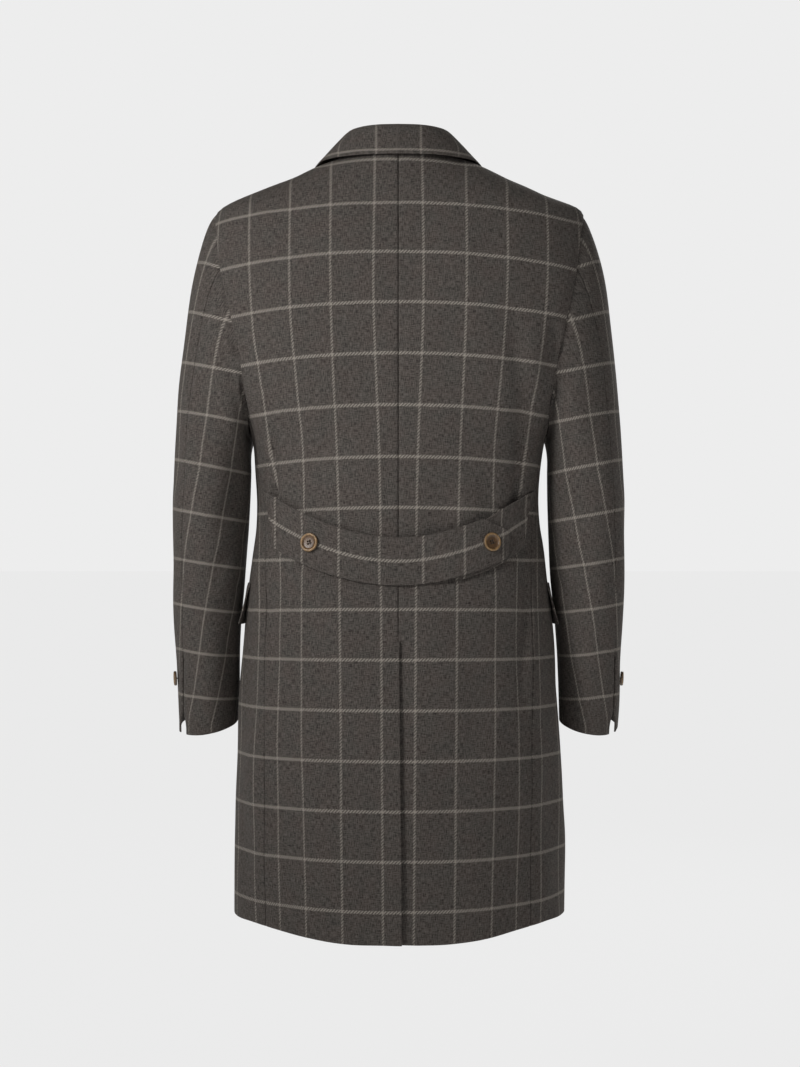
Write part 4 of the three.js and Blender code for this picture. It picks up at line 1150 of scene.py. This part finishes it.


# Horn, turned and polished: a glossy streaked brown, lighter where the thin rim lets light through, with
# painted shade, near black, in its four holes.
def polishedHorn(radius):
    look, tree = newLook("hornTurnedAndPolished%d" % round(radius * 10))
    h = hornSettings
    uv = addNode(tree, "UVMap", uv_map=clothMap)
    place = addNode(tree, "VectorMath", {0: uv, "Scale": 1000.0}, operation="SCALE")
    parts = addNode(tree, "SeparateXYZ", [place])
    share = addNode(tree, "Math", [parts.outputs[0], radius], operation="DIVIDE")
    spot = addNode(tree, "TexCoord").outputs["Object"]
    stretched = addNode(tree, "VectorMath", [spot, (700.0, 700.0, 240.0)], operation="MULTIPLY")
    inputs = {"Vector": stretched, "Scale": h["streakScale"], "Detail": 3.0, "Distortion": 0.8}
    streak = addNode(tree, "TexNoise", inputs)
    ramp = addNode(tree, "ValToRGB", [share])
    stops = ramp.color_ramp.elements
    stops[0].position, stops[0].color = 0.0, toLinear(h["centre"])
    stops[1].position, stops[1].color = 1.0, toLinear(h["edge"])
    for position, tone in hornStops:
        stop = stops.new(position)
        stop.color = toLinear(h[tone])
    depth = addNode(tree, "MapRange", [streak, 0.35, 0.65, 0.62, 1.15])
    tinted = addNode(tree, "VectorMath", {0: ramp, "Scale": depth}, operation="SCALE")
    # Inside the holes the colour goes to near black: painted shade in the shallow dents that stand for the
    # holes.
    holeShadeShare = addNode(tree, "Math", [parts.outputs[1], 12.0], operation="DIVIDE")
    holeShadeShare = addNode(tree, "Math", [holeShadeShare, 1.0], operation="MINIMUM")
    unshadedShare = addNode(tree, "Math", [1.0, holeShadeShare], operation="SUBTRACT")
    colour = addNode(tree, "VectorMath", {0: tinted, "Scale": unshadedShare}, operation="SCALE")
    colour = addNode(tree, "VectorMath", [colour, toLinear(h["shadedHole"])[:3]], operation="ADD")
    bump = addNode(tree, "Bump", {"Strength": h["bumpShare"], "Distance": h["bump"], "Height": streak})
    shader = addNode(tree, "BsdfPrincipled", {
        "Base Color": colour, "Roughness": h["rough"], "IOR": 1.54, "Coat Weight": h["coat"],
        "Coat Roughness": h["coatRough"], "Normal": bump})
    addNode(tree, "OutputMaterial", {"Surface": shader})
    return look


threadSettings = {"dark": "241c17", "light": "54463a", "ply": 3200.0, "rough": 0.7}


# Polyester sewing thread, spun and twisted: a dull dark brown with fine plies across it.
def twistedThread():
    look, tree = newLook("polyesterThreadSpun")
    spot = addNode(tree, "TexCoord").outputs["Object"]
    ply = addNode(tree, "TexNoise", {"Vector": spot, "Scale": threadSettings["ply"], "Detail": 1.0})
    ramp = addNode(tree, "ValToRGB", [ply])
    ramp.color_ramp.elements[0].color = toLinear(threadSettings["dark"])
    ramp.color_ramp.elements[1].color = toLinear(threadSettings["light"])
    bump = addNode(tree, "Bump", {"Strength": 0.5, "Distance": 0.0001, "Height": ply})
    rough = threadSettings["rough"]
    shader = addNode(tree, "BsdfPrincipled", {"Base Color": ramp, "Roughness": rough, "Normal": bump})
    addNode(tree, "OutputMaterial", {"Surface": shader})
    return look


wool = milledWoolTwill()
thread = twistedThread()
print("stage: materials made")


def sewnIn(piece, node):
    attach(piece, "root")
    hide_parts(node)


for word, side in (("left", 1), ("right", -1)):
    sewnIn(backPanel("back_panel_" + word, side, wool), "back_" + word)
    sewnIn(sidePanel("side_panel_" + word, side, wool), "side_" + word)
    sewnIn(frontPanel("front_panel_" + word, side, wool), "front_" + word)
    sewnIn(lapelPiece("turned_lapel_" + word, side, wool), "lapel_" + word)
    top = sleevePiece("upper_sleeve_" + word, side, hindTurn, foreTurn - 2 * math.pi, wool)
    under = sleevePiece("lower_sleeve_" + word, side, foreTurn, hindTurn, wool)
    sewnIn(top, "sleeve_top_" + word)
    sewnIn(under, "sleeve_under_" + word)
    sewnIn(flapPiece("hip_flap_" + word, side, wool), "pocket_flap_" + word)
print("stage: body, lapels, sleeves and flaps made")
sewnIn(collarPiece("turned_collar", wool), "collar")
sewnIn(beltPiece("half_belt_long", True, wool), "belt_long")
sewnIn(beltPiece("half_belt_short", False, wool), "belt_short")
print("stage: collar and belt made")


def sewnOn(name, node, centre, facing, radius, thick, lifted):
    button = buttonPiece(name, centre, facing, radius, thick, hornLooks[radius])
    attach(button, "root")
    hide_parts(node)
    paths = threadPaths(centre, facing, thick, lifted)
    held = tubes(name + "_thread", paths, buttonShape["thread"], thread)
    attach(held, "root")


hornLooks = {12.0: polishedHorn(12.0), 9.5: polishedHorn(9.5)}
beltLayers = 2 * (wall + lieGap)
bodyButton = (12.0, 4.0, 1.4)  # radius, thickness and how far the thread reaches down
# Each button: its node, distance from the middle, level, side of the coat and height over the cloth.
bodyButtons = [
    ("belt_button_left", 110, -488, "behind", beltLayers / 2 + lieGap),
    ("belt_button_right", -114, -488, "behind", beltLayers + 2 * lieGap),
    ("front_button_1", 0, -335, "before", lieGap),
    ("front_button_2", 0, -440, "before", lieGap),
    ("front_button_3", 0, -545, "before", lieGap),
]
for node, x, level, place, out in bodyButtons:
    length = lengthAt(level, x, place)
    level = np.array([float(level)])
    centre = lift(level, length, np.array([out + 1.0]))[0]
    sewnOn(node + "_horn", node, centre, bodyNormal(level, length)[0], *bodyButton)

for node, x, level, place, out in bodyButtons:
    if place == "before":
        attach(tubes(node + "_hole", holeStitches(level), buttonhole["thread"], thread, 5), "root")

cuffButton = {"level": -664.0, "turn": math.radians(24), "size": (9.5, 3.6, 1.4)}
for word, side in (("left", 1), ("right", -1)):
    level, turn = np.array([cuffButton["level"]]), np.array([cuffButton["turn"]])
    centre = sleeveRing(level, turn)[0]
    along = (sleeveRing(level, turn - 0.05) - sleeveRing(level, turn + 0.05))[0]
    facing = unit(np.cross((sleeveRing(level + 5, turn) - sleeveRing(level - 5, turn))[0], along))
    centre = (centre + facing * 1.4) * [side, 1, 1]
    facing = facing * [side, 1, 1]
    sewnOn("cuff_button_%s_horn" % word, "cuff_button_" + word, centre, facing, *cuffButton["size"])
print("stage: buttons made")

# Stage and light
stageLook = {"backdrop": 0.847, "floorTone": "ededed", "floorLevel": -1.35, "ambient": 0.055, "glow": 0.97}


# Painted board, matt and pale. Most of its tone is its own glow, which keeps the ground even, with almost
# no shadow.
def paintedBoard():
    look, tree = newLook("paintedBoardMatt")
    grit = addNode(tree, "TexNoise", {"Scale": 60.0, "Detail": 2.0})
    bump = addNode(tree, "Bump", {"Strength": 0.05, "Distance": 0.0005, "Height": grit})
    matt = addNode(tree, "BsdfPrincipled", {
        "Base Color": toLinear(stageLook["floorTone"]), "Roughness": 0.95, "Normal": bump})
    glow = addNode(tree, "Emission", {"Color": toLinear(stageLook["floorTone"]), "Strength": 1.0})
    both = addNode(tree, "MixShader", [stageLook["glow"], matt, glow])
    addNode(tree, "OutputMaterial", {"Surface": both})
    return look


floorPlace = (0, 0, stageLook["floorLevel"])
bpy.ops.mesh.primitive_circle_add(vertices=96, radius=60, fill_type="NGON", location=floorPlace)
floor = bpy.context.object
floor.name = "floor"
floor.data.materials.append(paintedBoard())

world = bpy.data.worlds.new("studio")
bpy.context.scene.world = world
world.use_nodes = True
world.node_tree.nodes.clear()
# The camera sees the pale backdrop, and the coat gets only the ambient share of its light.
rays = addNode(world.node_tree, "LightPath").outputs["Is Camera Ray"]
ambient = stageLook["ambient"]
strength = addNode(world.node_tree, "Math", [rays, 1 - ambient, ambient], operation="MULTIPLY_ADD")
grey = stageLook["backdrop"]
sky = addNode(world.node_tree, "Background", {"Color": (grey, grey, grey, 1), "Strength": strength})
addNode(world.node_tree, "OutputWorld", {"Surface": sky})

# Each softbox: where it stands, what it points at, its width and its power in watts.
softboxes = [
    dict(name="key", place=(1.8, 1.85, 0.8), target=(0.03, 0.1, -0.25), wide=0.9, power=3.2, spread=41),
    dict(name="fill", place=(-0.9, 3.0, 0.5), target=(0.0, 0.0, -0.3), wide=1.6, power=0.42, spread=44),
    dict(name="above", place=(0.1, 1.0, 1.9), target=(0.0, 0.0, -0.3), wide=1.2, power=0.6, spread=90),
    dict(name="frontSide", place=(-1.0, -2.8, 0.7), target=(0.0, 0.0, -0.4), wide=2.0, power=40, spread=180),
]


def addSoftbox(name, place, target, wide, power, spread):
    data = bpy.data.lights.new(name, "AREA")
    data.shape = "DISK"
    data.size = wide
    data.energy = power
    data.spread = math.radians(spread)
    lamp = bpy.data.objects.new(name, data)
    lamp.location = place
    lamp.rotation_euler = (Vector(target) - Vector(place)).to_track_quat("-Z", "Y").to_euler()
    bpy.context.scene.collection.objects.link(lamp)


for settings in softboxes:
    addSoftbox(**settings)
bpy.context.scene.view_settings.view_transform = "Standard"
print("stage: floor and lights made")
